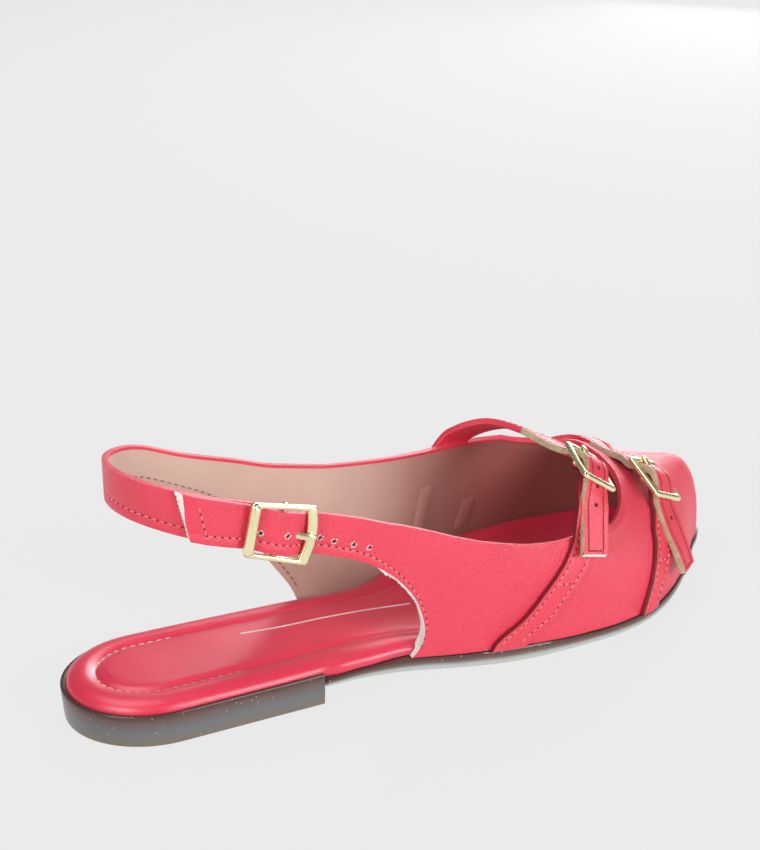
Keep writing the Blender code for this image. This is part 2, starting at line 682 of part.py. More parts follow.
# Seats of the three buckles
SLING_BAR_X, SLING_BAR_Z = 64.4, 66.0
SLING_BAR_DEPTH = -1.6
SLING_SLOPE = -0.31       # rise of the sling strap per step towards the toe
STRAP_ACROSS = (0.82, 0.04, -0.57)    # width direction of the rear strap, down towards the toe


def sling_seat():
    across = across_at(-1, np.array(SLING_BAR_X), np.array(SLING_BAR_Z))
    out = outward(SLING_BAR_X, across)
    bar = wall(SLING_BAR_X, across) + out * SLING_BAR_DEPTH
    return Seat(bar, (-1.0, 0.0, -SLING_SLOPE), out, 10.4, 8.7, 4.1, 0.04)


def rear_seat():
    return Seat((184.0, -15.5, 57.2), (-0.143, -0.951, -0.273), (0.554, -0.305, 0.774), 8.4, 6.9, 1.6)


def front_seat():
    return Seat((218.0, -5.7, 41.8), (0.09, -0.884, -0.46), (0.52, -0.353, 0.777), 8.4, 7.2, 2.4)


def sling_loop_rows(seat):
    """Rows of the sling's end round its buckle bar, to be joined to the upper's grid."""
    def rows(columns):
        path = [seat.at(4.6, 0.55)] + loop_path(seat, TAB_THICK, 6.0, -2.2)
        middle, tangent, width = path_rows(path, [seat.width] * len(path), 22)
        out = np.cross(tangent, width)
        spread = np.linspace(-6.9, 6.9, columns)
        grid = middle[:, None, :] + width[:, None, :] * spread[None, :, None]
        step = out[:, None, :] * TAB_THICK / 2
        return (grid + step)[::-1], (grid - step)[::-1]
    return rows


def make_rear_strap(seat, material, parent):
    """Long strap over the throat, from the medial sole through its buckle to a free end."""
    foot = sewn_rings(((127.0, 1.0, 139.0, 1.0), (137.0, 0.955, 149.0, 0.96), (144.0, 0.87, 155.0, 0.89),
                       (149.5, 0.77, 159.5, 0.79), (153.8, 0.66, 163.2, 0.64)), 14, STRAP_THICK)
    arch = [(161.8, 41.0, 53.2), (166.0, 36.8, 56.9), (171.4, 28.2, 59.4),
            (177.4, 15.0, 60.8), (181.8, 2.5, 60.4)]
    buckled = strap_wave(seat, BAR_RADIUS + 2 * GAP + TAB_THICK + STRAP_THICK / 2)
    end = [(182.0, -28.0, 48.5), (179.3, -31.6, 41.8), (176.6, -34.6, 34.5)]
    points = arch + buckled + end
    widths = [STRAP_ACROSS] * len(points)
    return make_band("rear_strap", foot, points, widths, 46, STRAP_THICK, 1, material, parent)


def make_rear_tab(seat, material, parent):
    """Lateral tab sewn up the wall and folded round the rear buckle's bar."""
    foot = sewn_rings(((138.0, -1.0, 151.0, -1.0), (149.8, -0.95, 162.9, -0.94),
                       (157.9, -0.873, 169.6, -0.86), (165.0, -0.779, 176.0, -0.76),
                       (169.6, -0.69, 180.0, -0.66)), 14, TAB_THICK)
    points = [seat.at(14.0, -7.6), seat.at(8.0, -4.3), seat.at(3.8, -0.5)]
    points += loop_path(seat, TAB_THICK, 5.5, -3.0)
    widths = [STRAP_ACROSS] + [seat.width * -1] * (len(points) - 1)
    return make_band("rear_tab", foot, points, widths, 34, TAB_THICK, -1, material, parent)


def make_front_strap(seat, material, parent):
    """Strap over the vamp, from the medial sole through its buckle to a free end by the toe."""
    foot = sewn_rings(((181.0, 1.0, 190.0, 1.0), (186.5, 0.82, 196.0, 0.80),
                       (193.5, 0.58, 202.5, 0.54), (201.0, 0.36, 209.5, 0.31),
                       (206.5, 0.19, 215.5, 0.12)), 16, STRAP_THICK)
    points = [wall_row(214.6, 0.0, SEWN_LIFT + STRAP_THICK / 2 + 0.5), seat.at(-13.0, -2.3)]
    points += strap_wave(seat, BAR_RADIUS + 2 * GAP + TAB_THICK + STRAP_THICK / 2)
    points += [(221.6, -18.4, 29.8), (223.2, -21.4, 22.0), (224.5, -23.5, 14.3)]
    leaning = [seat.out * lean - seat.width for lean in (0.16, 0.16, 0.08)]
    widths = leaning + [seat.width * -1] * 4 + [(0.75, 0.65, -0.15)] * 3
    return make_band("front_strap", foot, points, widths, 42, STRAP_THICK, 1, material, parent)


def make_front_tab(seat, material, parent):
    """Lateral tab sewn up the vamp and hooked over the front buckle's bar."""
    foot = sewn_rings(((198.0, -1.0, 205.2, -1.0), (203.1, -0.83, 211.5, -0.84),
                       (206.3, -0.68, 214.8, -0.73), (207.0, -0.60, 216.2, -0.64)), 12, TAB_THICK)
    radius = BAR_RADIUS + GAP + TAB_THICK / 2
    turns = np.radians(np.linspace(70, 165, 5))
    points = [seat.at(11.0, -4.35), seat.at(8.5, -3.35), seat.at(4.4, -0.9)]
    points += [seat.at(radius * math.cos(a), radius * math.sin(a)) for a in turns]
    widths = [seat.width * -1] * len(points)
    return make_band("front_tab", foot, points, widths, 26, TAB_THICK, -1, material, parent)


def settle(root, pieces):
    """Moves the empty so that the middle of the shoe's footprint, on the floor, is the origin."""
    bpy.context.view_layer.update()
    corners = np.array([piece.matrix_world @ vertex.co for piece in pieces for vertex in piece.data.vertices])
    low, high = corners.min(0), corners.max(0)
    root.location = (-(low[0] + high[0]) / 2, -(low[1] + high[1]) / 2, -low[2])


def main():
    for old in list(bpy.data.objects):
        bpy.data.objects.remove(old)
    red = leather("red_leather", (0.62, 0.02, 0.045), 0.42)
    insole_red = leather("insole_red", (0.6, 0.022, 0.045), 0.45)
    brown = leather("brown_rubber", (0.16, 0.085, 0.055), 0.45)
    gold = leather("pale_gold", (0.9, 0.78, 0.42), 0.18, 1.0)
    root = bpy.data.objects.new("shoe", None)
    bpy.context.scene.collection.objects.link(root)

    seats = {"sling": sling_seat(), "rear": rear_seat(), "front": front_seat()}
    upper = make_upper(red, root, sling_loop_rows(seats["sling"]))
    rear_strap = make_rear_strap(seats["rear"], red, root)
    rear_tab = make_rear_tab(seats["rear"], red, root)
    front_strap = make_front_strap(seats["front"], red, root)
    front_tab = make_front_tab(seats["front"], red, root)
    pieces = [make_outsole(brown, root), make_heel(brown, root), make_insole(insole_red, root),
              upper, rear_strap, rear_tab, front_strap, front_tab]
    worn = {"sling": (upper,), "rear": (rear_strap, rear_tab), "front": (front_strap, front_tab)}
    for name, seat in seats.items():
        pieces.append(make_frame(name + "_buckle", seat, gold, root))
        pieces.append(make_prong(name + "_prong", seat, gold, root))
        slot = make_prong(name + "_slot", seat, None, root, GAP)
        hide_cutter(slot)
        for piece in worn[name]:
            boolean(piece, slot, "DIFFERENCE")
    settle(root, pieces)


main()
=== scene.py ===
# %% [markdown]
# # A red slingback flat, dressed for its photograph
# The shoe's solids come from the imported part: a sole, a hollow upper, two buckled straps and a
# sling round the heel. This lesson gives them their looks. A shoemaker cuts leather flat and pulls
# it over a last, so most pieces here start the same way: a flat grid, laid on the last's surface.

import math

import bmesh
import bpy
import numpy as np
from mathutils import Matrix, Vector
from mathutils.bvhtree import BVHTree
from mathutils.kdtree import KDTree


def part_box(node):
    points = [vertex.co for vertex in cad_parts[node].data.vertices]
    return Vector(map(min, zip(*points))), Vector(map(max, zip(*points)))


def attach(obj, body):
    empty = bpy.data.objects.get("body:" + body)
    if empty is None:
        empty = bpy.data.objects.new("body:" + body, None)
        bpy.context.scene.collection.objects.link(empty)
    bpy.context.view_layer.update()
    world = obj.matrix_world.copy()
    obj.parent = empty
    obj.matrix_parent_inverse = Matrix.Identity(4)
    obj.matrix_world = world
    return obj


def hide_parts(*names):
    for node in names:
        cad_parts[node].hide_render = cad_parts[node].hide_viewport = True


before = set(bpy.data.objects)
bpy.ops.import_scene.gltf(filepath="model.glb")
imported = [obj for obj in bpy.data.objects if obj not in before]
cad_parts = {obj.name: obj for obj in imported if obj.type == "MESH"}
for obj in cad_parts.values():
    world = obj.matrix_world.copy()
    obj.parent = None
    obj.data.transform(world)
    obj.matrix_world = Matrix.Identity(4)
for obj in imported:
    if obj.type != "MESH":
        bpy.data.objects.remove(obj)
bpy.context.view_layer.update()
MM = 0.001
heel_low, heel_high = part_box("heel")
HEEL_BACK = np.array([heel_low.x, (heel_low.y + heel_high.y) / 2, 0.0])
print("solids", sorted(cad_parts))
print("back of the heel on its middle line, in metres:", HEEL_BACK.round(4))

# %% [markdown]
# The drawing is kept in millimetres from the back of the heel: x to the toe, y to the inner side and
# z up. A few helpers carry points from the drawing into the frame, read smooth curves, and clear the
# selection, because an operator acts on all that is selected and the loaded solids still are.

# %% From the drawing to the frame


def place(points):
    """Drawing millimetres as metres in the frame."""
    return np.asarray(points, float) * MM + HEEL_BACK


def deselect():
    if bpy.context.object and bpy.context.object.mode != "OBJECT":
        bpy.ops.object.mode_set(mode="OBJECT")
    bpy.ops.object.select_all(action="DESELECT")


def unit(vector):
    vector = np.asarray(vector, float)
    return vector / np.maximum(np.linalg.norm(vector, axis=-1, keepdims=True), 1e-12)


def curve(keys, values, at):
    """Smooth curve through rows of values, read at the given keys."""
    keys = np.asarray(keys, float)
    values = np.asarray(values, float).reshape(len(keys), -1)
    at = np.atleast_1d(np.asarray(at, float))
    slopes = np.gradient(values, keys, axis=0)
    row = np.clip(np.searchsorted(keys, at, side="right") - 1, 0, len(keys) - 2)
    span = (keys[row + 1] - keys[row])[:, None]
    share = (at[:, None] - keys[row][:, None]) / span
    rest = 1 - share
    return (values[row] * (1 + 2 * share) * rest**2 + values[row + 1] * (3 - 2 * share) * share**2
            + slopes[row] * span * share * rest**2 - slopes[row + 1] * span * share**2 * rest)


def ease(value, start, end):
    """0 before start, 1 after end, smooth between."""
    share = np.clip((np.asarray(value, float) - start) / (end - start), 0, 1)
    return share * share * (3 - 2 * share)


deselect()
print("helpers ready, nothing selected:", not bpy.context.selected_objects)

# %% [markdown]
# The camera stands where the photographer's did: behind the heel, on the outer side, looking down at
# about 27 degrees. The lens and the shift come from fitting the heel, the ball and the toe to the
# picture, which is steadier than turning a camera by hand until the outline fits.

# %% Camera
VIEW_AZIMUTH, VIEW_ELEVATION, VIEW_DISTANCE = -27.841, 26.705, 699.85
VIEW_TARGET = np.array([125.0, 0.0, 30.0])
FOCAL_PIXELS, FRAME_HEIGHT = 2063.71, 850.0
SHIFT_PIXELS = (-31.86, 135.22)


def studio_camera():
    turn, rise = math.radians(VIEW_AZIMUTH), math.radians(VIEW_ELEVATION)
    back = Vector((math.sin(turn) * math.cos(rise), -math.cos(turn) * math.cos(rise), math.sin(rise)))
    data = bpy.data.cameras.new("photo_camera")
    data.sensor_fit = "VERTICAL"
    data.sensor_height = 36.0
    data.lens = data.sensor_height * FOCAL_PIXELS / FRAME_HEIGHT
    data.shift_x = SHIFT_PIXELS[0] / FRAME_HEIGHT
    data.shift_y = SHIFT_PIXELS[1] / FRAME_HEIGHT
    data.clip_start = 0.01
    camera = bpy.data.objects.new("photo_camera", data)
    bpy.context.scene.collection.objects.link(camera)
    camera.location = Vector(place(VIEW_TARGET)) + back * VIEW_DISTANCE * MM
    camera.rotation_euler = (-back).to_track_quat("-Z", "Y").to_euler()
    bpy.context.scene.camera = camera
    return camera


camera = studio_camera()
print("camera at", [round(v, 4) for v in camera.location])

# %% [markdown]
# The floor is one matt sheet that glows a little, as on a lit table: lamps alone would leave a bright
# patch on it. Five soft boxes light the shoe. The one on the outer side is the main light, one fills
# from the heel, one above lights the insole, and two beyond the toe, one of them low, give the leather
# its pale sheen at the edges. The sky is dim, so that the inside of the shoe stays dark.

# %% Floor and light
PAPER_TONE, PAPER_GLOW, SKY_LIGHT = 0.06, 0.765, 0.14
SOFT_BOXES = (            # name, place, what it points at, side in metres, watts
    ("box_side", (0.52, -0.98, 0.40), (0.02, 0.0, 0.03), 0.6, 10.0),
    ("box_heel", (-0.85, -0.55, 0.50), (-0.06, 0.0, 0.03), 0.5, 5.5),
    ("box_above", (-0.30, 0.05, 0.95), (0.0, 0.0, 0.03), 0.6, 3.4),
    ("box_toe", (0.64, 0.76, 0.52), (0.02, 0.0, 0.03), 0.6, 6.0),
    ("box_low", (0.75, 0.70, 0.22), (0.09, 0.0, 0.03), 0.4, 3.4),
)


def floor_paper():
    material = bpy.data.materials.new("floor_paper")
    material.use_nodes = True
    sockets = material.node_tree.nodes["Principled BSDF"].inputs
    sockets["Base Color"].default_value = (PAPER_TONE, PAPER_TONE, PAPER_TONE, 1)
    sockets["Roughness"].default_value = 0.9
    sockets["Specular IOR Level"].default_value = 0.0
    sockets["Emission Color"].default_value = (1.0, 1.0, 1.0, 1)
    sockets["Emission Strength"].default_value = PAPER_GLOW
    return material


def soft_box(name, location, target, side, power):
    data = bpy.data.lights.new(name, "AREA")
    data.shape = "RECTANGLE"
    data.size = data.size_y = side
    data.energy = power
    lamp = bpy.data.objects.new(name, data)
    bpy.context.scene.collection.objects.link(lamp)
    lamp.location = location
    lamp.rotation_euler = (Vector(target) - Vector(location)).to_track_quat("-Z", "Y").to_euler()
    lamp.visible_camera = False


deselect()
bpy.ops.mesh.primitive_plane_add(size=12, location=(0, 0, 0))
floor = bpy.context.active_object
floor.name = "studio_floor"
floor.data.materials.append(floor_paper())
world = bpy.context.scene.world or bpy.data.worlds.new("studio")
bpy.context.scene.world = world
world.use_nodes = True
sky = world.node_tree.nodes["Background"]
sky.inputs["Color"].default_value = (1.0, 1.0, 1.0, 1)
sky.inputs["Strength"].default_value = SKY_LIGHT
for row in SOFT_BOXES:
    soft_box(*row)
bpy.context.scene.view_settings.view_transform = "Standard"
print("floor, sky and", len(SOFT_BOXES), "soft boxes ready")

# %% [markdown]
# The last is the wooden form that gives the shoe its shape. It is a row of sections from the heel to
# the toe. Each section rises from the edge of the sole, the feather, to the ridge, and its sides are
# superellipses whose fullness and bulge are in the table. A place on the wall is a section and how far
# across it lies: -1 is the outer feather, 0 the ridge and 1 the inner feather.

# %% The last's table of sections
SECTION_COLUMNS = ("ridge_x", "lateral_x", "lateral_y", "medial_x", "medial_y", "feather_z", "ridge_y",
                   "ridge_z", "lateral_fullness", "medial_fullness", "lateral_bulge", "medial_bulge")
SECTIONS = np.array((
    (44.0, 44.0, -26.0, 44.0, 26.0, 11.6, 0.0, 150.0, 3.0, 3.0, 0.5, 0.5),
    (80.0, 80.0, -27.2, 80.0, 25.2, 11.4, 0.5, 140.0, 3.0, 3.0, 0.5, 3.0),
    (105.0, 105.0, -28.3, 105.0, 22.8, 10.6, 2.0, 120.0, 3.0, 3.0, 1.0, 7.0),
    (130.0, 130.0, -30.6, 130.0, 28.8, 7.8, 5.0, 94.0, 2.8, 3.0, 1.2, 5.0),
    (155.0, 155.0, -31.8, 155.0, 38.2, 5.6, 10.0, 75.0, 2.6, 3.0, 1.2, 2.5),
    (175.0, 175.0, -32.0, 175.0, 43.2, 4.6, 14.0, 62.5, 2.4, 3.0, 1.2, 1.2),
    (192.0, 193.0, -30.6, 193.0, 43.6, 4.4, 16.5, 54.0, 2.25, 2.9, 1.2, 1.2),
    (207.0, 209.0, -25.8, 211.0, 40.2, 4.8, 17.5, 48.0, 2.2, 2.6, 1.2, 1.2),
    (218.0, 222.5, -17.0, 227.0, 34.5, 5.6, 17.8, 43.7, 2.2, 2.4, 1.2, 1.2),
    (227.0, 235.5, -5.0, 239.5, 29.0, 6.4, 17.8, 41.2, 2.25, 2.3, 1.0, 1.0),
    (233.0, 245.5, 6.0, 248.0, 24.2, 7.0, 17.6, 40.0, 2.4, 2.35, 0.7, 0.7),
    (235.6, 251.4, 12.0, 252.2, 21.6, 7.3, 17.4, 39.5, 2.5, 2.45, 0.4, 0.4),
    (236.5, 253.4, 14.9, 253.7, 19.6, 7.5, 17.4, 39.3, 2.5, 2.5, 0.2, 0.2),
    (237.0, 254.1, 17.4, 254.1, 17.4, 7.6, 17.4, 39.2, 2.5, 2.5, 0.0, 0.0),
))
TIP = SECTIONS[-1, 0]
SLING_TURN_X, SLING_DEPTH = 44.0, 24.5
print(len(SECTIONS), "sections, the last one at the toe's tip, x =", TIP)

# %% [markdown]
# A maker reads a last with a tape: so far along it, so far up its side. Two functions do the same. wall
# turns such a place into a point, and outward gives the way that leather is pushed out there. The last
# could be sculpted as a mesh, but a formula lets every edge, strap and stitch ask for its own point.
# Behind the heel's turn, where no last is, the surface goes on as a loop for the sling.

# %% The last's surface


def section(at):
    flat = np.clip(np.ravel(at), SLING_TURN_X, TIP)
    found = curve(SECTIONS[:, 0], SECTIONS, flat)
    return {name: found[:, i].reshape(np.shape(at)) for i, name in enumerate(SECTION_COLUMNS)}


def across_at(side, x, z):
    """Place across the wall at a section and a height, on the outer (-1) or inner (1) side."""
    cut = section(x)
    rise = np.clip((z - cut["feather_z"]) / (cut["ridge_z"] - cut["feather_z"]), 0, 1)
    fullness = cut["lateral_fullness" if side < 0 else "medial_fullness"]
    return side * (1 - np.arcsin(rise ** (fullness / 2)) * 2 / math.pi)


def wall(x, across):
    """Point on the last. Behind the sling's turn, x counts on along the loop round the heel."""
    x, across = np.broadcast_arrays(np.asarray(x, float), np.asarray(across, float))
    cut = section(x)
    lateral = across < 0
    feather_x = np.where(lateral, cut["lateral_x"], cut["medial_x"])
    feather_y = np.where(lateral, cut["lateral_y"], cut["medial_y"])
    bulge = np.where(lateral, -cut["lateral_bulge"], cut["medial_bulge"])
    power = 2 / np.where(lateral, cut["lateral_fullness"], cut["medial_fullness"])
    angle = (1 - np.abs(across)) * math.pi / 2
    out = np.cos(angle).clip(0) ** power
    up = np.sin(angle).clip(0) ** power
    along = cut["ridge_x"] + (feather_x - cut["ridge_x"]) * out
    aside = cut["ridge_y"] + (feather_y - cut["ridge_y"]) * out + bulge * np.sin(2 * angle)
    height = cut["feather_z"] + (cut["ridge_z"] - cut["feather_z"]) * up
    turn = np.clip((SLING_TURN_X - x) / SLING_DEPTH, 0, math.pi)
    past = np.clip(SLING_TURN_X - math.pi * SLING_DEPTH - x, 0, None)
    along = along - SLING_DEPTH * np.sin(turn) + past
    return np.stack([along, aside * np.cos(turn), height], -1)


def outward(x, across):
    """Unit normal of the last, away from the foot."""
    step_x, step = 0.05, 0.002
    x, across = np.broadcast_arrays(np.asarray(x, float), np.asarray(across, float))
    near_x = np.minimum(x, TIP - 2 * step_x)
    near = np.clip(across, -1 + 2 * step, 1 - 2 * step)

    def one(spot):
        ahead = wall(near_x + step_x, spot) - wall(near_x - step_x, spot)
        over = wall(near_x, spot + step) - wall(near_x, spot - step)
        return unit(np.cross(ahead, over))

    normal = one(near)
    return np.where((x > TIP - step_x)[..., None], unit(normal + one(-near)), normal)


print("wall at the outer ball:", wall(175.0, -1.0).round(1), "and on the ridge:", wall(175.0, 0.0).round(1))

# %% [markdown]
# The upper is cut as two halves that meet on the middle of the vamp. Its edges are rows across the
# wall, each from the lower to the upper edge. A maker would cut both halves from flat leather round a
# pattern. Here the pattern is a grid of places on the last, so that it needs no unrolling. Its columns
# are crowded near both edges, measured in real millimetres, so that a stitch row, a rolled edge or a
# folded hem can follow the edge exactly.

# %% The upper's pattern
FEATHER = 0.0             # as a height below, it stands for the feather's own
LATERAL_STRAP_EDGE = np.array((     # x and z of the lower edge, x and z of the upper, lift off the last
    (35.6, 69.0, 32.4, 85.4, 2.4),
    (46.0, 65.4, 44.5, 81.0, 2.4),
    (53.5, 62.8, 55.5, 76.8, 1.55),
    (62.4, 59.7, 66.6, 72.9, 3.5),
    (66.4, 58.4, 70.4, 71.6, 3.0),
    (73.0, 56.5, 76.0, 69.7, 0.1),
    (85.0, 52.6, 85.0, 66.9, 0.0),
    (96.0, 47.4, 94.0, 63.8, 0.0),
    (105.0, 40.2, 101.0, 60.9, 0.0),
    (111.0, 32.2, 107.0, 58.8, 0.0),
    (114.1, 23.0, 116.0, 55.3, 0.0),
    (114.3, 17.5, 126.0, 51.0, 0.0),
    (112.4, 12.9, 136.0, 47.2, 0.0),
    (110.0, 10.1, 146.0, 44.1, 0.0),
))
LATERAL_VAMP_EDGE = np.array((
    (110.0, FEATHER, 146.0, 44.1, 0.0),
    (130.0, FEATHER, 153.0, 42.3, 0.0),
    (150.0, FEATHER, 160.0, 41.1, 0.0),
    (166.0, FEATHER, 168.0, 40.2, 0.0),
    (180.0, FEATHER, 178.0, 40.0, 0.0),
))
MEDIAL_STRAP_EDGE = np.array((
    (-45.0, 62.2, -45.0, 76.8, -0.7),
    (-33.0, 66.4, -33.0, 81.0, 0.0),
    (-24.0, 69.3, -24.0, 84.0, 0.0),
    (-13.0, 72.0, -13.0, 86.2, 0.0),
    (5.5, 73.2, 5.5, 86.8, 0.0),
    (22.0, 71.2, 22.0, 84.6, 0.0),
    (38.0, 67.0, 38.0, 81.0, 0.0),
    (52.0, 60.5, 54.0, 74.6, 0.0),
    (65.0, 52.5, 71.0, 69.0, 0.0),
    (76.0, 40.5, 84.0, 64.5, 0.0),
    (83.5, 28.0, 93.0, 62.4, 0.0),
    (90.0, 18.0, 100.0, 60.8, 0.0),
    (93.0, 10.8, 106.0, 59.4, 0.0),
))
MEDIAL_VAMP_EDGE = np.array((
    (93.0, FEATHER, 106.0, 59.4, 0.0),
    (124.0, FEATHER, 128.0, 55.3, 0.0),
    (150.0, FEATHER, 150.0, 52.0, 0.0),
    (170.0, FEATHER, 168.0, 51.5, 0.0),
    (186.0, FEATHER, 181.0, 50.9, 0.0),
))
THROAT_X, THROAT_ACROSS = 206.0, -0.05
NEAR_EDGE = np.array([0.0, 1.1, 1.9, 2.5, 3.0, 3.5, 4.2, 5.2])   # columns counted from an edge, mm
MIDDLE_COLUMNS = 18


def travel(points):
    """Distance along a line from its first point, or along every row of a grid."""
    steps = np.linalg.norm(np.diff(points, axis=-2), axis=-1)
    return np.concatenate([np.zeros((*steps.shape[:-1], 1)), np.cumsum(steps, -1)], -1)


def edge_rows(table, count):
    along = travel(table[:, :4])
    return curve(along, table, np.linspace(0, along[-1], count))


def line_shares(length):
    """Shares of each row's length at which its columns lie, crowded at both edges."""
    near = NEAR_EDGE[None, :] / length[:, None]
    middle = np.linspace(near[:, -1], 1 - near[:, -1], MIDDLE_COLUMNS + 2, axis=1)[:, 1:-1]
    return np.concatenate([near, middle, 1 - near[:, ::-1]], 1)


def even_rows(x, across, shares_of):
    """Reads rows given by two functions of a share at columns a set distance from the edges."""
    coarse = np.linspace(0, 1, 60)
    points = wall(x(coarse[None, :]), across(coarse[None, :]))
    run = travel(points)
    wanted = shares_of(run[:, -1]) * run[:, -1:]
    share = np.stack([np.interp(w, r, coarse) for w, r in zip(wanted, run)])
    return x(share), across(share)


def pattern_half(side, rows, round_count, vamp_count):
    """Grid of (x, across) for one half: its edge rows, then round the throat and on to the toe."""
    lower_x, lower_z, upper_x, upper_z = (rows[:, i:i + 1] for i in range(4))
    low = np.where(lower_z <= FEATHER, section(lower_x)["feather_z"], lower_z)

    def flat_x(share):
        return lower_x + (upper_x - lower_x) * share

    def flat_across(share):
        return across_at(side, flat_x(share), low + (upper_z - low) * share)

    flat = even_rows(flat_x, flat_across, line_shares)
    knee_x, knee_z = rows[-1, 2], rows[-1, 3]
    knee_across = across_at(side, np.array(knee_x), np.array(knee_z))
    turn = np.linspace(0, math.pi / 2, round_count + 1)[1:]
    top_x = knee_x + (THROAT_X - knee_x) * np.sin(turn)
    top = knee_across + (THROAT_ACROSS - knee_across) * (1 - np.cos(turn))
    low_x = rows[-1, 0] + (THROAT_X - rows[-1, 0]) * np.linspace(0, 1, round_count + 1)[1:]
    turn = np.linspace(0, math.pi / 2, vamp_count + 1)[1:]
    vamp = THROAT_X + (TIP - THROAT_X) * np.sin(turn)
    top_x = np.concatenate([top_x, vamp])[:, None]
    low_x = np.concatenate([low_x, vamp])[:, None]
    top = np.concatenate([top, THROAT_ACROSS * np.cos(turn) ** 2])[:, None]
    front = even_rows(lambda share: low_x + (top_x - low_x) * share,
                      lambda share: side + (top - side) * share, line_shares)
    return tuple(np.concatenate(pair) for pair in zip(flat, front))


LATERAL_STRAP_ROWS, MEDIAL_STRAP_ROWS, ROUND_ROWS, VAMP_ROWS = 120, 130, 34, 46
lateral_rows = np.concatenate([edge_rows(LATERAL_STRAP_EDGE, LATERAL_STRAP_ROWS)[:-1],
                               edge_rows(LATERAL_VAMP_EDGE, 36)])
medial_rows = np.concatenate([edge_rows(MEDIAL_STRAP_EDGE, MEDIAL_STRAP_ROWS)[:-1],
                              edge_rows(MEDIAL_VAMP_EDGE, 46)])
halves = {}
for side, rows in ((-1, lateral_rows), (1, medial_rows)):
    x, across = pattern_half(side, rows, ROUND_ROWS, VAMP_ROWS)
    lift = np.concatenate([rows[:, 4], np.zeros(ROUND_ROWS + VAMP_ROWS)])[:, None]
    halves[side] = {"x": x, "across": across, "lift": np.broadcast_to(lift, x.shape)}
    print("outer" if side < 0 else "inner", "half of the pattern:", x.shape)

# %% [markdown]
# Hide has a grain of small pebbles, and its cut edges and threads show fibre. Several finishes need
# these, so each effect is a node group with named sockets, built once, in place of nodes copied from
# material to material. A group puts out masks and heights only, and the shader stays in the material,
# where its plain values sit on its own sockets. These first helpers add nodes and join them.

# %% Tools for node groups


def new_group(name, inputs, outputs):
    group = bpy.data.node_groups.new(name, "ShaderNodeTree")
    for socket, kind, default in inputs:
        made = group.interface.new_socket(socket, in_out="INPUT", socket_type=kind)
        if default is not None:
            made.default_value = default
    for socket, kind in outputs:
        group.interface.new_socket(socket, in_out="OUTPUT", socket_type=kind)
    start = group.nodes.new("NodeGroupInput")
    end = group.nodes.new("NodeGroupOutput")
    return group, start, end


def node(tree, kind, settings=(), values=(), links=()):
    """Adds a node: its settings by attribute, its values by socket, and links into its sockets."""
    made = tree.nodes.new(kind)
    for key, value in settings:
        setattr(made, key, value)
    for key, value in values:
        made.inputs[key].default_value = value
    for key, source in links:
        tree.links.new(source, made.inputs[key])
    return made


def math_node(tree, operation, first, second):
    made = tree.nodes.new("ShaderNodeMath")
    made.operation = operation
    for socket, value in ((0, first), (1, second)):
        if isinstance(value, (int, float)):
            made.inputs[socket].default_value = value
        else:
            tree.links.new(value, made.inputs[socket])
    return made.outputs[0]


def noise(tree, spot, scale, detail, roughness=0.5):
    """Cloudy noise, with so many lumps to the metre."""
    return node(tree, "ShaderNodeTexNoise", links=[("Vector", spot)],
                values=[("Scale", scale), ("Detail", detail), ("Roughness", roughness)])


print("node tools ready")

# %% [markdown]
# The leather's pebbles are small cells, stretched a little along a slanting line as the hide was, over
# a finer noise. A picture of leather would repeat and carry its own light, so the cells are worked out.
# The same group has a wide, soft blotch, for the uneven tone and gloss that handling leaves.

# %% Grain of the hide


def grain_group():
    """Pebbled hide: a height for Bump, and a mask that is high in the creases between pebbles."""
    group, start, end = new_group(
        "pebble_grain",
        [("Place", "NodeSocketVector", None), ("Pebbles per metre", "NodeSocketFloat", 2400.0)],
        [("Height", "NodeSocketFloat"), ("Crease", "NodeSocketFloat"), ("Blotch", "NodeSocketFloat")])
    slant = node(group, "ShaderNodeMapping", values=[("Rotation", (0.0, math.radians(38), 0.0)),
                                                     ("Scale", (1.0, 1.0, 0.42))],
                 links=[("Vector", start.outputs["Place"])])
    stir = noise(group, slant.outputs[0], 900.0, 2.0)
    stirred = node(group, "ShaderNodeVectorMath", settings=[("operation", "MULTIPLY_ADD")],
                   values=[(1, (0.0003, 0.0003, 0.0003))],
                   links=[(0, stir.outputs["Color"]), (2, slant.outputs[0])])
    cells = node(group, "ShaderNodeTexVoronoi", settings=[("feature", "SMOOTH_F1")],
                 values=[("Smoothness", 0.5)],
                 links=[("Vector", stirred.outputs[0]), ("Scale", start.outputs["Pebbles per metre"])])
    fine = noise(group, slant.outputs[0], 4200.0, 3.0)
    blotch = noise(group, start.outputs["Place"], 38.0, 3.0, 0.55)
    pebble = math_node(group, "SUBTRACT", 1.0, cells.outputs["Distance"])
    height = math_node(group, "ADD", math_node(group, "MULTIPLY", pebble, 0.75),
                       math_node(group, "MULTIPLY", fine.outputs["Fac"], 0.45))
    crease = node(group, "ShaderNodeMapRange", values=[("From Min", 0.42), ("From Max", 0.85)],
                  links=[("Value", cells.outputs["Distance"])])
    group.links.new(height, end.inputs["Height"])
    group.links.new(crease.outputs[0], end.inputs["Crease"])
    group.links.new(blotch.outputs["Fac"], end.inputs["Blotch"])
    return group


GRAIN = grain_group()
print("grain puts out", [socket.name for socket in GRAIN.interface.items_tree if socket.in_out == "OUTPUT"])

# %% [markdown]
# The lining is a fine knit: ribs along the wall with short stitches across them, made from two waves,
# because a wave keeps an even pitch where a noise would not. Cut leather and thread show loose fibre,
# which is a rough noise.

# %% Knit of the lining and raw fibre


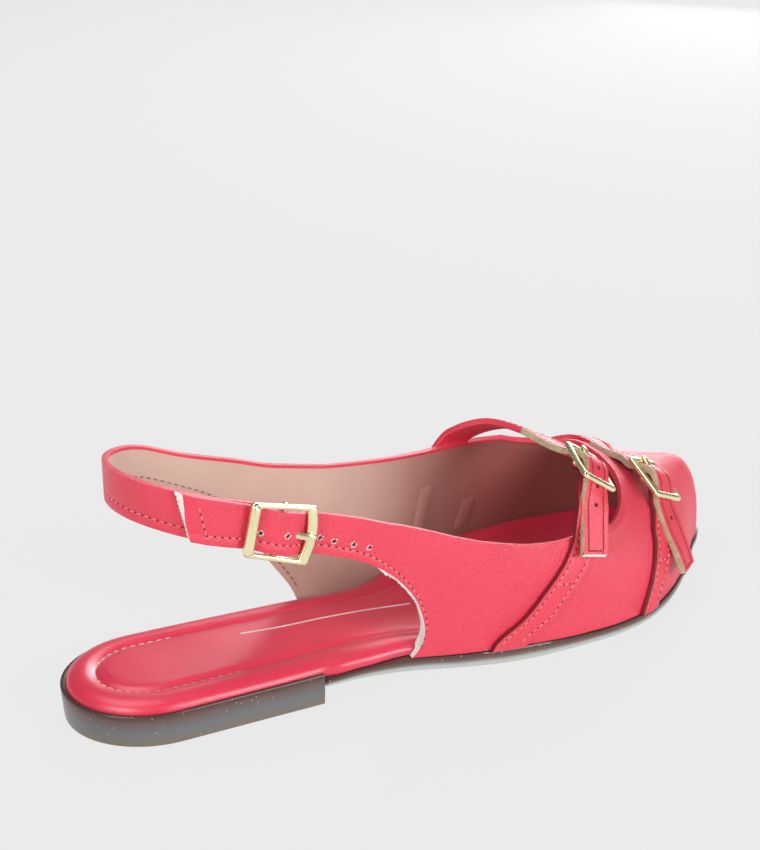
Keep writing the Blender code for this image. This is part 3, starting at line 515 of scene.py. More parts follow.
def knit_group():
    """Knitted lining: fine ribs along the wall, with short stitches across them."""
    group, start, end = new_group(
        "fine_knit",
        [("Place", "NodeSocketVector", None), ("Rib pitch", "NodeSocketFloat", 0.0009)],
        [("Height", "NodeSocketFloat"), ("Shade", "NodeSocketFloat")])
    parts = node(group, "ShaderNodeSeparateXYZ", links=[("Vector", start.outputs["Place"])])
    rate = math_node(group, "DIVIDE", 2 * math.pi, start.outputs["Rib pitch"])
    tilt = math_node(group, "ADD", parts.outputs["Z"], math_node(group, "MULTIPLY", parts.outputs["X"], 0.25))
    ribs = math_node(group, "SINE", math_node(group, "MULTIPLY", tilt, rate), 0.0)
    side = math_node(group, "ADD", parts.outputs["X"], parts.outputs["Y"])
    loop_rate = math_node(group, "MULTIPLY", rate, 0.8)
    loops = math_node(group, "SINE", math_node(group, "MULTIPLY", side, loop_rate), 0.0)
    fuzz = noise(group, start.outputs["Place"], 2600.0, 3.0)
    cloud = noise(group, start.outputs["Place"], 60.0, 3.0)
    weave = math_node(group, "ADD", math_node(group, "MULTIPLY", ribs, 0.25),
                      math_node(group, "MULTIPLY", loops, 0.15))
    height = math_node(group, "ADD", weave, fuzz.outputs["Fac"])
    shade = math_node(group, "ADD", math_node(group, "MULTIPLY", weave, 0.35),
                      math_node(group, "MULTIPLY", cloud.outputs["Fac"], 0.8))
    group.links.new(height, end.inputs["Height"])
    group.links.new(shade, end.inputs["Shade"])
    return group


def fibre_group():
    """Raw cut leather and thread: coarse fibres as a height and a tone."""
    group, start, end = new_group(
        "raw_fibre",
        [("Place", "NodeSocketVector", None), ("Fibres per metre", "NodeSocketFloat", 1500.0)],
        [("Height", "NodeSocketFloat"), ("Tone", "NodeSocketFloat")])
    coarse = node(group, "ShaderNodeTexNoise", values=[("Detail", 5.0), ("Roughness", 0.7)],
                  links=[("Vector", start.outputs["Place"]), ("Scale", start.outputs["Fibres per metre"])])
    wide = noise(group, start.outputs["Place"], 180.0, 2.0)
    tone = math_node(group, "ADD", math_node(group, "MULTIPLY", coarse.outputs["Fac"], 0.6),
                     math_node(group, "MULTIPLY", wide.outputs["Fac"], 0.4))
    group.links.new(coarse.outputs["Fac"], end.inputs["Height"])
    group.links.new(tone, end.inputs["Tone"])
    return group


KNIT, FIBRE = knit_group(), fibre_group()
print("node groups:", [group.name for group in (GRAIN, KNIT, FIBRE)])

# %% [markdown]
# Every finish starts the same way: a Principled shader, Object coordinates, and a group that feeds a
# Bump node and a colour ramp. Object coordinates are used because a finished piece sits at the origin,
# so that the pattern keeps its true size from piece to piece.

# %% Tools for finishes


def finish_start(name, roughness, metallic=0.0):
    material = bpy.data.materials.new(name)
    material.use_nodes = True
    tree = material.node_tree
    shader = tree.nodes["Principled BSDF"]
    shader.inputs["Roughness"].default_value = roughness
    shader.inputs["Metallic"].default_value = metallic
    spot = tree.nodes.new("ShaderNodeTexCoord").outputs["Object"]
    return material, tree, shader, spot


def use_group(tree, group, spot, values=()):
    made = tree.nodes.new("ShaderNodeGroup")
    made.node_tree = group
    tree.links.new(spot, made.inputs["Place"])
    for key, value in values:
        made.inputs[key].default_value = value
    return made


def ramp(tree, source, stops):
    made = tree.nodes.new("ShaderNodeValToRGB")
    elements = made.color_ramp.elements
    while len(elements) < len(stops):
        elements.new(0.5)
    for element, (position, colour) in zip(elements, stops):
        element.position = position
        element.color = (*colour, 1)
    tree.links.new(source, made.inputs["Fac"])
    return made.outputs["Color"]


def bump(tree, shader, height, strength, distance):
    made = node(tree, "ShaderNodeBump", values=[("Strength", strength), ("Distance", distance)],
                links=[("Height", height)])
    tree.links.new(made.outputs["Normal"], shader.inputs["Normal"])


def tint(tree, first, second, factor, blend="MULTIPLY"):
    made = node(tree, "ShaderNodeMix", settings=[("data_type", "RGBA"), ("blend_type", blend)])
    colours = [socket for socket in made.inputs if socket.type == "RGBA"]
    tree.links.new(first, colours[0])
    tree.links.new(second, colours[1])
    if isinstance(factor, (int, float)):
        made.inputs["Factor"].default_value = factor
    else:
        tree.links.new(factor, made.inputs["Factor"])
    return next(socket for socket in made.outputs if socket.type == "RGBA")


print("finish tools ready")

# %% [markdown]
# The ramps hold two or three tones each, set by comparing renders with the photograph: coral red with a
# deeper red painted into the creases as shade, a beige-pink lining that turns dark red towards the toe as
# painted shade and painted red bounce light, cream and tan cut edges, and a dark red on the tabs' rear sides
# that is painted shade. The thread is red on the upper, deep red on the straps, brown on the lining and pale
# on the insole. Flat colours would be simpler, but real leather and thread are never one tone.

# %% Leather, lining, edges and thread


def leather_finish(name, light, deep, pebbles, depth, roughness):
    material, tree, shader, spot = finish_start(name, roughness)
    grain = use_group(tree, GRAIN, spot, [("Pebbles per metre", pebbles)])
    tone = ramp(tree, grain.outputs["Blotch"], [(0.3, deep), (0.7, light)])
    # The creases between pebbles are coloured darker: painted shade in the grain.
    crease_shade = ramp(tree, grain.outputs["Crease"], [(0.0, (1.0, 1.0, 1.0)), (1.0, (0.86, 0.69, 0.73))])
    tree.links.new(tint(tree, tone, crease_shade, 1.0), shader.inputs["Base Color"])
    rough = node(tree, "ShaderNodeMapRange",
                 values=[("To Min", roughness - 0.05), ("To Max", roughness + 0.09)],
                 links=[("Value", grain.outputs["Blotch"])])
    tree.links.new(rough.outputs[0], shader.inputs["Roughness"])
    shader.inputs["Specular IOR Level"].default_value = 0.8
    shader.inputs["Sheen Weight"].default_value = 0.12
    shader.inputs["Sheen Roughness"].default_value = 0.4
    bump(tree, shader, grain.outputs["Height"], depth, 0.0003)
    return material


def cloth_finish(name, light, deep, pitch, shaded_tone):
    """Knitted lining, darker and redder towards the toe by the stored value: painted shade and painted red
    bounce light inside the toe box.
    """
    material, tree, shader, spot = finish_start(name, 0.9)
    knit = use_group(tree, KNIT, spot, [("Rib pitch", pitch)])
    cloth = ramp(tree, knit.outputs["Shade"], [(0.15, deep), (0.65, light)])
    # The lining turns darker and redder towards the toe: painted shade and painted red bounce light.
    toe_shade_tint = ramp(tree, node(tree, "ShaderNodeAttribute", settings=[("attribute_name", "toe_shade")]).outputs["Fac"],
               [(0.0, (1.0, 1.0, 1.0)), (1.0, shaded_tone)])
    tree.links.new(tint(tree, cloth, toe_shade_tint, 1.0), shader.inputs["Base Color"])
    shader.inputs["Sheen Weight"].default_value = 0.15
    bump(tree, shader, knit.outputs["Height"], 0.3, 0.0002)
    return material


def fibre_finish(name, light, deep, fibres, roughness=0.85, depth=0.6):
    material, tree, shader, spot = finish_start(name, roughness)
    fibre = use_group(tree, FIBRE, spot, [("Fibres per metre", fibres)])
    tone = ramp(tree, fibre.outputs["Tone"], [(0.35, deep), (0.62, light)])
    tree.links.new(tone, shader.inputs["Base Color"])
    bump(tree, shader, fibre.outputs["Height"], depth, 0.0005)
    return material


red_leather = leather_finish(
    "red_leather_finish", (0.79, 0.034, 0.082), (0.74, 0.028, 0.070), 3200.0, 0.8, 0.42)
strap_leather = leather_finish(
    "strap_leather_finish", (0.76, 0.028, 0.068), (0.71, 0.023, 0.057), 2400.0, 0.55, 0.42)
insole_leather = leather_finish(
    "insole_leather_finish", (0.75, 0.034, 0.084), (0.69, 0.028, 0.072), 3000.0, 0.10, 0.32)
# The last tone is the lining's painted shade and red bounce at the toe.
lining_cloth = cloth_finish(
    "lining_cloth_finish", (0.64, 0.46, 0.38), (0.57, 0.40, 0.33), 0.0006, (0.50, 0.19, 0.19))
raw_edge = fibre_finish("raw_edge_finish", (0.95, 0.93, 0.89), (0.80, 0.75, 0.68), 1900.0)
strap_edge = fibre_finish("strap_edge_finish", (0.62, 0.52, 0.34), (0.34, 0.25, 0.13), 1200.0)
# A tab's rear side: dark red that is painted shade, for the line where the tab meets the upper.
rear_edge_shade = fibre_finish(
    "painted_edge_finish", (0.20, 0.006, 0.011), (0.11, 0.004, 0.007), 1500.0, 0.5, 0.2)
red_thread, deep_thread, brown_thread, pale_thread = (
    fibre_finish(name + "_finish", light, deep, 4000.0, roughness, 0.3) for name, light, deep, roughness in (
        ("red_thread", (0.90, 0.26, 0.28), (0.70, 0.08, 0.11), 0.5),
        ("deep_thread", (0.46, 0.022, 0.034), (0.26, 0.012, 0.018), 0.5),
        ("brown_thread", (0.40, 0.26, 0.20), (0.22, 0.13, 0.10), 0.6),
        ("pale_thread", (0.86, 0.84, 0.82), (0.55, 0.50, 0.48), 0.6)))
# Needle and punched holes are beads coloured dark: painted shade for the hole.
hole_shade = fibre_finish(
    "needle_hole_finish", (0.10, 0.012, 0.014), (0.05, 0.006, 0.007), 3000.0, 0.8, 0.3)
pin_line = fibre_finish("pin_line_finish", (0.86, 0.80, 0.80), (0.70, 0.50, 0.52), 900.0, 0.5, 0.1)
print("leather, lining, edge and thread finishes:", len(bpy.data.materials), "materials so far")

# %% [markdown]
# The sole is brown rubber that lets a little light in: browner at its upper and lower edges, greyer between,
# with tiny pale specks. The shader lets no light into the rubber, so a ramp over the level that is stored on
# the piece gives the bands that this light makes, and sparse cells the specks.
# The buckles are pale, greenish gold plating: a metal whose roughness changes with faint rubbing.

# %% Rubber and gold finishes


def rubber_finish(name, stops, cells_per_metre):
    """Bands over the level that is stored on the piece, 0 at its underside and 1 at its rim."""
    material, tree, shader, spot = finish_start(name, 0.34)
    stored = node(tree, "ShaderNodeAttribute", settings=[("attribute_name", "level")])
    cloud = noise(tree, spot, 70.0, 3.0)
    level = math_node(tree, "ADD", math_node(tree, "SUBTRACT", stored.outputs["Fac"], 0.05),
                      math_node(tree, "MULTIPLY", cloud.outputs["Fac"], 0.10))
    bands = ramp(tree, level, stops)
    cells = node(tree, "ShaderNodeTexVoronoi", values=[("Scale", cells_per_metre)],
                 links=[("Vector", spot)])
    speck = node(tree, "ShaderNodeMapRange", values=[("From Min", 0.13), ("From Max", 0.07)],
                 links=[("Value", cells.outputs["Distance"])])
    pick = math_node(tree, "GREATER_THAN", cells.outputs["Color"], 0.45)
    pale = ramp(tree, math_node(tree, "MULTIPLY", speck.outputs[0], pick),
                [(0.0, (0.0, 0.0, 0.0)), (1.0, (0.55, 0.53, 0.50))])
    tree.links.new(tint(tree, bands, pale, 1.0, "ADD"), shader.inputs["Base Color"])
    fine = noise(tree, spot, 900.0, 4.0)
    bump(tree, shader, fine.outputs["Fac"], 0.06, 0.0003)
    shader.inputs["Coat Weight"].default_value = 0.15
    return material


def gold_finish(name):
    material, tree, shader, spot = finish_start(name, 0.2, 1.0)
    cloud = noise(tree, spot, 160.0, 4.0)
    tree.links.new(ramp(tree, cloud.outputs["Fac"], [(0.3, (0.90, 0.83, 0.48)), (0.7, (0.98, 0.93, 0.62))]),
                   shader.inputs["Base Color"])
    rub = node(tree, "ShaderNodeMapRange", values=[("To Min", 0.20), ("To Max", 0.36)],
               links=[("Value", cloud.outputs["Fac"])])
    tree.links.new(rub.outputs[0], shader.inputs["Roughness"])
    fine = noise(tree, spot, 1800.0, 2.0)
    bump(tree, shader, fine.outputs["Fac"], 0.04, 0.0002)
    return material


heel_rubber = rubber_finish("heel_rubber_finish", [
    (0.0, (0.18, 0.125, 0.075)), (0.14, (0.16, 0.139, 0.118)), (0.45, (0.132, 0.134, 0.146)),
    (0.66, (0.124, 0.100, 0.098)), (0.82, (0.128, 0.066, 0.058)), (0.94, (0.065, 0.032, 0.026))], 620.0)
sole_rubber = rubber_finish("sole_rubber_finish", [
    (0.0, (0.50, 0.52, 0.50)), (0.34, (0.40, 0.41, 0.39)), (0.58, (0.15, 0.10, 0.08)),
    (0.85, (0.07, 0.032, 0.026))], 620.0)
gold = gold_finish("pale_gold_finish")
print("rubber and gold finishes ready")

# %% [markdown]
# The upper is one hollow wall of leather with a knitted lining. Each half starts as a flat grid, one
# vertex for each place of the pattern, and is lasted: its vertices move onto the last. A sculpted block
# could be hollowed instead, but a grid keeps the rows and columns that stitches and edges follow. The
# tools of this cell lay a grid, work on one piece at a time, and hang a finished piece on the shoe.

# %% Lay a flat grid on the last


def lay_pattern(name, points):
    """A grid primitive with a vertex for each drawing point, laid on those points."""
    rows, columns = points.shape[:2]
    deselect()
    bpy.ops.mesh.primitive_grid_add(x_subdivisions=columns - 1, y_subdivisions=rows - 1, size=0.1)
    piece = bpy.context.active_object
    piece.name = piece.data.name = name
    piece.data.vertices.foreach_set("co", place(points).reshape(-1))
    piece.data.update()
    return piece


def choose(*pieces):
    """Selects these pieces alone and makes the first one active."""
    deselect()
    for piece in pieces:
        piece.select_set(True)
    bpy.context.view_layer.objects.active = pieces[0]


def edit(piece):
    choose(piece)
    bpy.ops.object.mode_set(mode="EDIT")


def join_pieces(first, second):
    choose(first, second)
    bpy.ops.object.join()
    return first


def apply_modifier(piece, name, kind, **settings):
    modifier = piece.modifiers.new(name, kind)
    for key, value in settings.items():
        setattr(modifier, key, value)
    choose(piece)
    bpy.ops.object.modifier_apply(modifier=name)


def tidy_mesh(piece, merge=0.0, recalculate=True):
    """In edit mode: merges doubled points and turns the faces outwards."""
    edit(piece)
    bpy.ops.mesh.select_all(action="SELECT")
    if merge:
        bpy.ops.mesh.remove_doubles(threshold=merge)
    if recalculate:
        bpy.ops.mesh.normals_make_consistent(inside=False)
    bpy.ops.object.mode_set(mode="OBJECT")


def smooth(piece, degrees):
    choose(piece)
    bpy.ops.object.shade_smooth_by_angle(angle=math.radians(degrees))


def adopt(piece, slot, *nodes):
    """Hangs a finished piece on the shoe's one body, in place of its solids."""
    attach(piece, "root")
    if nodes:
        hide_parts(*nodes)
    faces = sum(len(face.vertices) - 2 for face in piece.data.polygons)
    print(piece.name, "has", faces, "triangles")


def coords(piece):
    flat = np.empty(len(piece.data.vertices) * 3)
    piece.data.vertices.foreach_get("co", flat)
    return flat.reshape(-1, 3)


print("pattern tools ready")

# %% [markdown]
# The upper's inner half runs on as the sling, and its end is folded round the bar of the sling's buckle.
# A bend made by hand would need many small turns, so the fold's middle line is an arc round the bar with
# a short way back. A buckle's seat, the place and three directions of its bar, is kept in a small class,
# because the straps, tabs, frames and prongs of all three buckles ask it for their points.

# %% The sling's fold round its buckle bar
GAP, BAR_RADIUS, TAB_THICK, STRAP_THICK, STRAP_WIDTH = 0.3, 0.9, 1.4, 2.2, 10.2
FRAME_THICK = 2.0


class Seat:
    """Where a buckle sits: its centre bar's middle and three directions.

    ahead runs along the free strap as it passes through, out is away from the foot, and width
    runs along the bar.
    """

    def __init__(self, bar, ahead, out, half_length, half_width, frame_lift, frame_tilt=0.0):
        self.bar = np.asarray(bar, float)
        self.ahead = unit(ahead)
        self.out = unit(np.asarray(out, float) - np.dot(out, self.ahead) * self.ahead)
        self.width = np.cross(self.ahead, self.out)
        self.half_length, self.half_width = half_length, half_width
        self.frame_lift, self.frame_tilt = frame_lift, frame_tilt

    def at(self, ahead, out, width=0.0):
        ahead, out, width = np.broadcast_arrays(*(np.asarray(v, float) for v in (ahead, out, width)))
        return (self.bar + ahead[..., None] * self.ahead + out[..., None] * self.out
                + width[..., None] * self.width)

    def frame_out(self, ahead):
        return self.frame_lift + self.frame_tilt * np.asarray(ahead, float)


def path_rows(points, widths, count):
    """Even steps along a smooth path: points, tangents and width directions square to them."""
    points = np.asarray(points, float)
    along = travel(points)
    at = np.linspace(0, along[-1], count)
    middle = curve(along, points, at)
    tangent = unit(np.gradient(middle, axis=0))
    width = curve(along, widths, at)
    width = unit(width - (width * tangent).sum(1, keepdims=True) * tangent)
    return middle, tangent, width


def loop_path(seat, thick, reach, start_out):
    """Middle line of a leather end folded round the bar: over it, round, and back underneath."""
    radius = BAR_RADIUS + GAP + thick / 2
    turns = np.radians(np.linspace(70, 270, 9))
    arc = [seat.at(radius * math.cos(a), radius * math.sin(a)) for a in turns]
    back = [seat.at(reach * 0.5, -radius - thick * 0.35), seat.at(reach, start_out - thick - 2 * GAP)]
    return arc + back


SLING_BAR_X, SLING_BAR_Z, SLING_BAR_DEPTH, SLING_SLOPE = 64.4, 66.0, -1.6, -0.31
sling_place = (SLING_BAR_X, across_at(-1, np.array(SLING_BAR_X), np.array(SLING_BAR_Z)))
sling_out = outward(*sling_place)
sling_seat = Seat(wall(*sling_place) + sling_out * SLING_BAR_DEPTH, (-1.0, 0.0, -SLING_SLOPE), sling_out,
                  10.4, 8.7, 4.1, 0.04)
sling_path = [sling_seat.at(4.6, 0.55)] + loop_path(sling_seat, TAB_THICK, 6.0, -2.2)
fold_middle, fold_tangent, fold_width = path_rows(sling_path, [sling_seat.width] * len(sling_path), 44)
fold_out = np.cross(fold_tangent, fold_width)
print("sling buckle's bar at", sling_seat.bar.round(1))

# %% [markdown]
# Leather on a shoe keeps the marks of the hand: a roll round the throat where the edge is turned in, a
# groove under each stitch row, a slight pillow outside it and a faint unevenness. Each is a push of the
# grid along its normal, by the distance from an edge. Sculpting would do as well, but distances put the
# groove exactly under the thread that comes later.

# %% Leave the hand's marks in the pattern
UPPER_WALL = 2.0
STITCH_INSET = 3.2        # of the stitch row from the lower edge
LATERAL_SEWN, MEDIAL_SEWN = LATERAL_STRAP_ROWS - 6, MEDIAL_STRAP_ROWS - 4     # rows that are sewn
ROLL, DIP = (0.5, 2.3, 1.5), (-0.24, 5.4, 0.9)      # height, distance from the edge, width
GROOVE, PILLOW = (-0.24, STITCH_INSET, 0.62), (0.10, 1.4, 0.9)


def distance_to(line, points):
    """Distance of each point to the nearest point of a line, in millimetres."""
    tree = KDTree(len(line))
    for i, point in enumerate(line):
        tree.insert(point, i)
    tree.balance()
    flat = np.asarray(points).reshape(-1, 3)
    return np.array([tree.find(point)[2] for point in flat]).reshape(np.shape(points)[:-1])


def swell(distance, shape):
    """A soft ridge, or a groove if its height is below zero, along an edge."""
    height, middle, width = shape
    return height * np.exp(-((distance - middle) / width) ** 2)


def slow_noise(points, pitch, seed):
    """Smooth random field over space, about -1 to 1, from a few waves."""
    pick = np.random.default_rng(seed)
    total = np.zeros(points.shape[:-1])
    for _ in range(7):
        direction = unit(pick.normal(size=3))
        total += np.sin((points @ direction) * 2 * math.pi / (pitch * pick.uniform(0.7, 1.5))
                        + pick.uniform(0, 2 * math.pi))
    return total / 3.5


topline = []
for half in halves.values():
    half["normal"] = outward(half["x"], half["across"])
    half["outer"] = wall(half["x"], half["across"]) + half["normal"] * half["lift"][..., None]
    open_rows = len(half["x"]) - VAMP_ROWS
    dense = np.linspace(0, open_rows - 1, 6 * open_rows)
    topline.append(curve(np.arange(open_rows), half["outer"][:open_rows, -1], dense))
topline = np.concatenate(topline)
for side, half in halves.items():
    points = half["outer"]
    from_top, from_low = distance_to(topline, points), travel(points)
    throat = ease(points[..., 0], 172, 196)
    sewn = (np.arange(len(points)) < (LATERAL_SEWN if side < 0 else MEDIAL_SEWN))[:, None]
    uneven = 0.10 * slow_noise(points, 26, 3) + 0.04 * slow_noise(points, 9, 4)
    push = ((swell(from_top, ROLL) + swell(from_top, DIP)) * throat
            + (swell(from_low, GROOVE) + swell(from_low, PILLOW)) * sewn + uneven * ease(from_low, 0.5, 6))
    half["from_top"], half["from_low"] = from_top, from_low
    half["outer"] = points + half["normal"] * push[..., None]
print("topline sampled at", len(topline), "points")

# %% [markdown]
# The outer wing's strap ends in a slanted cut that shows the pale inside of the leather, wider at its
# top. The first rows of the grid are led along that slant, which a knife would do on a real strap.

# %% Cut the strap's end
CUT_WIDTH, CUT_WIDER, CUT_DEPTH, CUT_ROWS = 0.45, 2.1, 1.1, 5
strap_end = halves[-1]["outer"]
cut_width = CUT_WIDTH + CUT_WIDER * np.linspace(0, 1, strap_end.shape[1])[:, None] ** 2
cut_from = strap_end[0] + unit(strap_end[CUT_ROWS - 1] - strap_end[0]) * cut_width
cut_to = strap_end[CUT_ROWS].copy()
for i in range(1, CUT_ROWS):
    strap_end[i] = cut_from + (cut_to - cut_from) * (i - 1) / (CUT_ROWS - 1)
ragged = 0.25 * np.sin(np.arange(strap_end.shape[1]) * 2.3)[:, None] * (1, 0, 0)
strap_end[0] = strap_end[0] - halves[-1]["normal"][0] * CUT_DEPTH + ragged
print("cut", cut_width.min().round(2), "to", cut_width.max().round(2), "mm wide")

# %% [markdown]
# Now both halves are lasted and sewn together on the middle of the vamp: two grids are laid on their
# points, joined, and merged where they meet. What later steps need to know of a point, such as how far
# it lies from the topline or which way is out, is stored on it first, because it stays with the point
# through every modifier.

# %% Last the two halves and join them
EDGE_WALL = 4.2           # the outer wing's cut edge, with the lining's foam showing
TURNED_IN = 0.25          # a rim nearer to the topline than this is turned in, so it is red
FOLD_HALF_WIDTH = 6.9
MERGE = 2e-6              # metres: points nearer than this are one
TOE_SHADE_FROM, TOE_SHADE_FULL = 95, 185    # where painted shade starts to darken the lining, and where it is darkest


# Share of the lining's painted shade: 0 towards the heel, 1 at the toe.
def toe_shade_at(points):
    return ease(points[..., 0], TOE_SHADE_FROM, TOE_SHADE_FULL)


columns = halves[1]["outer"].shape[1]
share = halves[1]["from_low"][0] / halves[1]["from_low"][0, -1]
fold_spread = np.interp(share, (0, 1), (-FOLD_HALF_WIDTH, FOLD_HALF_WIDTH))
fold_rows = (fold_middle[:, None] + fold_width[:, None] * fold_spread[None, :, None]
             + fold_out[:, None] * TAB_THICK / 2)[::-1]
fold_normals = np.repeat(fold_out[::-1, None], columns, 1)
inner_points = np.concatenate([fold_rows, halves[1]["outer"]])
outer_half = lay_pattern("upper_leather", halves[-1]["outer"].transpose(1, 0, 2))
inner_half = lay_pattern("upper_inner_half", inner_points[:, ::-1].transpose(1, 0, 2))
for piece, half, fold_count in ((outer_half, halves[-1], 0), (inner_half, halves[1], len(fold_rows))):
    points, from_top, out = half["outer"], half["from_top"], half["normal"]
    amount = np.full((len(points) + fold_count, columns), UPPER_WALL / EDGE_WALL)
    cut = np.zeros(amount.shape)
    if fold_count:
        fold_top = np.full((fold_count, columns), 9.0)
        fold_top[:, [0, -1]] = TURNED_IN - 0.01     # both edges of the fold are turned in
        points = inner_points[:, ::-1]
        from_top = np.concatenate([fold_top, from_top])[:, ::-1]
        out = np.concatenate([fold_normals, out])[:, ::-1]
        amount[:fold_count] = TAB_THICK / EDGE_WALL
    else:
        rear = ease(half["x"], 86, 104) * (1 - ease(half["x"], 128, 146))
        amount += (1 - UPPER_WALL / EDGE_WALL) * rear * (1 - ease(half["from_low"], 1.5, 7.0))
        cut[:2] = 1.0
    group = piece.vertex_groups.new(name="wall")
    for index, value in enumerate(amount.T.reshape(-1)):
        group.add([index], float(value), "REPLACE")
    # toe_shade holds the lining's painted shade towards the toe.
    for name, value in (("from_top", from_top), ("cut", cut), ("toe_shade", toe_shade_at(points)), ("amount", amount),
                        ("out_x", out[..., 0]), ("out_y", out[..., 1]), ("out_z", out[..., 2])):
        layer = piece.data.attributes.new(name, "FLOAT", "POINT")
        layer.data.foreach_set("value", value.T.reshape(-1).astype(np.float32))
upper = join_pieces(outer_half, inner_half)
tidy_mesh(upper, merge=MERGE, recalculate=False)
for material in (red_leather, lining_cloth, raw_edge):
    upper.data.materials.append(material)
print("upper sheet:", len(upper.data.vertices), "points,", len(upper.data.polygons), "faces")

# %% [markdown]
# A shoe's wall is leather outside and lining inside, so Solidify gives the sheet its two millimetres and
# the inner face its own finish. In the narrow corners its offset goes astray, so the inner face is set
# square to the last afterwards, from the directions that were stored.

# %% Give the wall its thickness and lining
outer_count = len(upper.data.vertices)
apply_modifier(upper, "leather_and_lining", "SOLIDIFY", thickness=EDGE_WALL * MM, offset=-1.0,
               material_offset=1, material_offset_rim=2, vertex_group="wall",
               use_even_offset=False, use_rim=True)


def stored(piece, name):
    values = np.empty(len(piece.data.vertices), np.float32)
    piece.data.attributes[name].data.foreach_get("value", values)
    return values.astype(float)


points = coords(upper)
square = np.column_stack([stored(upper, name)[:outer_count] for name in ("out_x", "out_y", "out_z")])
thick = stored(upper, "amount")[:outer_count, None] * EDGE_WALL * MM
inner_face = points[:outer_count] - unit(square) * thick
moved = np.linalg.norm(points[outer_count:2 * outer_count] - inner_face, axis=1)
points[outer_count:2 * outer_count] = inner_face
upper.data.vertices.foreach_set("co", points.reshape(-1))
print("inner face moved by up to", round(moved.max() / MM, 2), "mm,",
      "middle value", round(np.median(moved) / MM, 3))

# %% [markdown]
# Along the topline the leather is turned in over the lining, so the rim and a narrow hem inside it are
# red. The other rims are cut and show their raw edge. A real edge is never sharp: each one gets a weight,
# and Bevel rounds it by that weight, the turned edges most.

# %% Turn in the topline and round the edges
LEATHER, LINING, RAW = 0, 1, 2      # the wall's finishes, in the order in which they were added
HEM_DEPTH = 1.45
SOLE_LINE = 13.0          # rims below this height are hidden by the sole
SHARP = math.radians(40)
FULL_ROUND, SLIGHT_ROUND = 0.85, 0.3


def dress_upper_edges():
    """Turns the topline's edge and hem red and weights the edges for the Bevel that rounds them."""
    work = bmesh.new()
    work.from_mesh(upper.data)
    top, cut = (work.verts.layers.float[name] for name in ("from_top", "cut"))
    layers = work.edges.layers.float
    weight = layers.get("bevel_weight_edge") or layers.new("bevel_weight_edge")
    rolled = raw = 0
    for face in work.faces:
        depth = [vert[top] for vert in face.verts]
        if face.material_index == LEATHER and min(vert[cut] for vert in face.verts) > 0.5:
            face.material_index = RAW
        elif face.material_index == RAW:
            on_top = max(depth) < TURNED_IN
            face.material_index = LEATHER if on_top else RAW
            rolled += on_top
            raw += not on_top
            for edge in face.edges:
                others = [other for other in edge.link_faces if other is not face]
                if max(vert.co.z for vert in edge.verts) < SOLE_LINE * MM:
                    continue
                if others and others[0].normal.angle(face.normal, 0.0) > SHARP:
                    rounding = FULL_ROUND if max(depth) < TURNED_IN - 0.05 else SLIGHT_ROUND
                    edge[weight] = max(edge[weight], rounding)
        elif face.material_index == LINING and max(depth) < HEM_DEPTH:
            face.material_index = LEATHER
    work.to_mesh(upper.data)
    work.free()
    return rolled, raw


rolled, raw = dress_upper_edges()
apply_modifier(upper, "round_edges", "BEVEL", width=1.0 * MM, segments=3, limit_method="WEIGHT",
               use_clamp_overlap=True, profile=0.5)
smooth(upper, 50)
adopt(upper, "red_leather", "upper")
print("rolled edge faces", rolled, "raw edge faces", raw)

# %% [markdown]
# The straps and tabs are bands of doubled leather. Where a band is sewn down, each of its points lies on the
# upper's own surface; past that it runs free along a path through its buckle. A curve with a bevel would
# follow a path too, but not a wall. So the band is laid out as a grid like the upper and thickened both ways.
# Its sides are raw and tan, its cut end is cream, and a tab's rear side is coloured dark as painted shade.

# %% Bands of leather
SEWN_LIFT = 0.15          # a sewn band's underside above the upper
BAND_COLUMNS = np.array([0.0, 0.06, 0.13, 0.175, 0.21, 0.245, 0.33, 0.42, 0.5, 0.58, 0.67, 0.755, 0.79,
                         0.825, 0.87, 0.94, 1.0])
STITCH_COLUMNS = (4, 12)  # columns under the two stitch rows
BAND_FACE, BAND_SIDE, BAND_END, BAND_EDGE_SHADE = range(4)     # a band's finishes, in their order


def sewn_grid(rows, count, thick):
    """Middle surface of a band sewn on the wall, from rows rear_x, rear_across, front_x, front_across."""
    rows = np.array(rows)
    rows = curve(np.arange(len(rows)), rows, np.linspace(0, len(rows) - 1, count))
    x = rows[:, 0:1] + (rows[:, 2:3] - rows[:, 0:1]) * BAND_COLUMNS
    across = rows[:, 1:2] + (rows[:, 3:4] - rows[:, 1:2]) * BAND_COLUMNS
    return wall(x, across) + outward(x, across) * (SEWN_LIFT + thick / 2)


def strap_wave(seat, strap_out):
    """The strap's way through a buckle: under the frame, over the bar, under the frame."""
    reach = seat.half_length
    under = [float(seat.frame_out(a)) - FRAME_THICK / 2 - 0.15 - STRAP_THICK / 2 for a in (-reach, reach)]
    return [seat.at(-reach, under[0]), seat.at(-reach * 0.45, strap_out * 0.7), seat.at(0.0, strap_out),
            seat.at(reach * 0.45, strap_out * 0.7), seat.at(reach, under[1])]


def band_grid(foot, points, widths, count):
    """A band's middle surface: its sewn foot, then its free run along the points."""
    middle_column = foot.shape[1] // 2
    points = [foot[-1, middle_column]] + list(points)
    widths = [unit(foot[-1, -1] - foot[-1, 0])] + list(widths)
    middle, tangent, width = path_rows(points, widths, count)
    free = middle[:, None] + width[:, None] * ((BAND_COLUMNS - 0.5) * STRAP_WIDTH)[None, :, None]
    ahead = unit(middle[3] - middle[0])
    past = ((free - foot[-1]) @ ahead).min(1) > 0.4
    grid = np.concatenate([foot, free[np.argmax(past):]])
    join = len(foot)
    for _ in range(12):
        span = slice(join - 5, join + 6)
        eased = (grid[join - 6:join + 5] + grid[join - 4:join + 7]) / 2
        grid[span] = grid[span] * 0.5 + eased * 0.5
    return grid


def grid_normals(grid):
    """Normals of a band, turned to the shoe's inside at its sewn end."""
    normals = unit(np.cross(np.gradient(grid, axis=1), np.gradient(grid, axis=0)))
    return normals if normals[0].mean(0)[1] * grid[0].mean(0)[1] < 0 else -normals


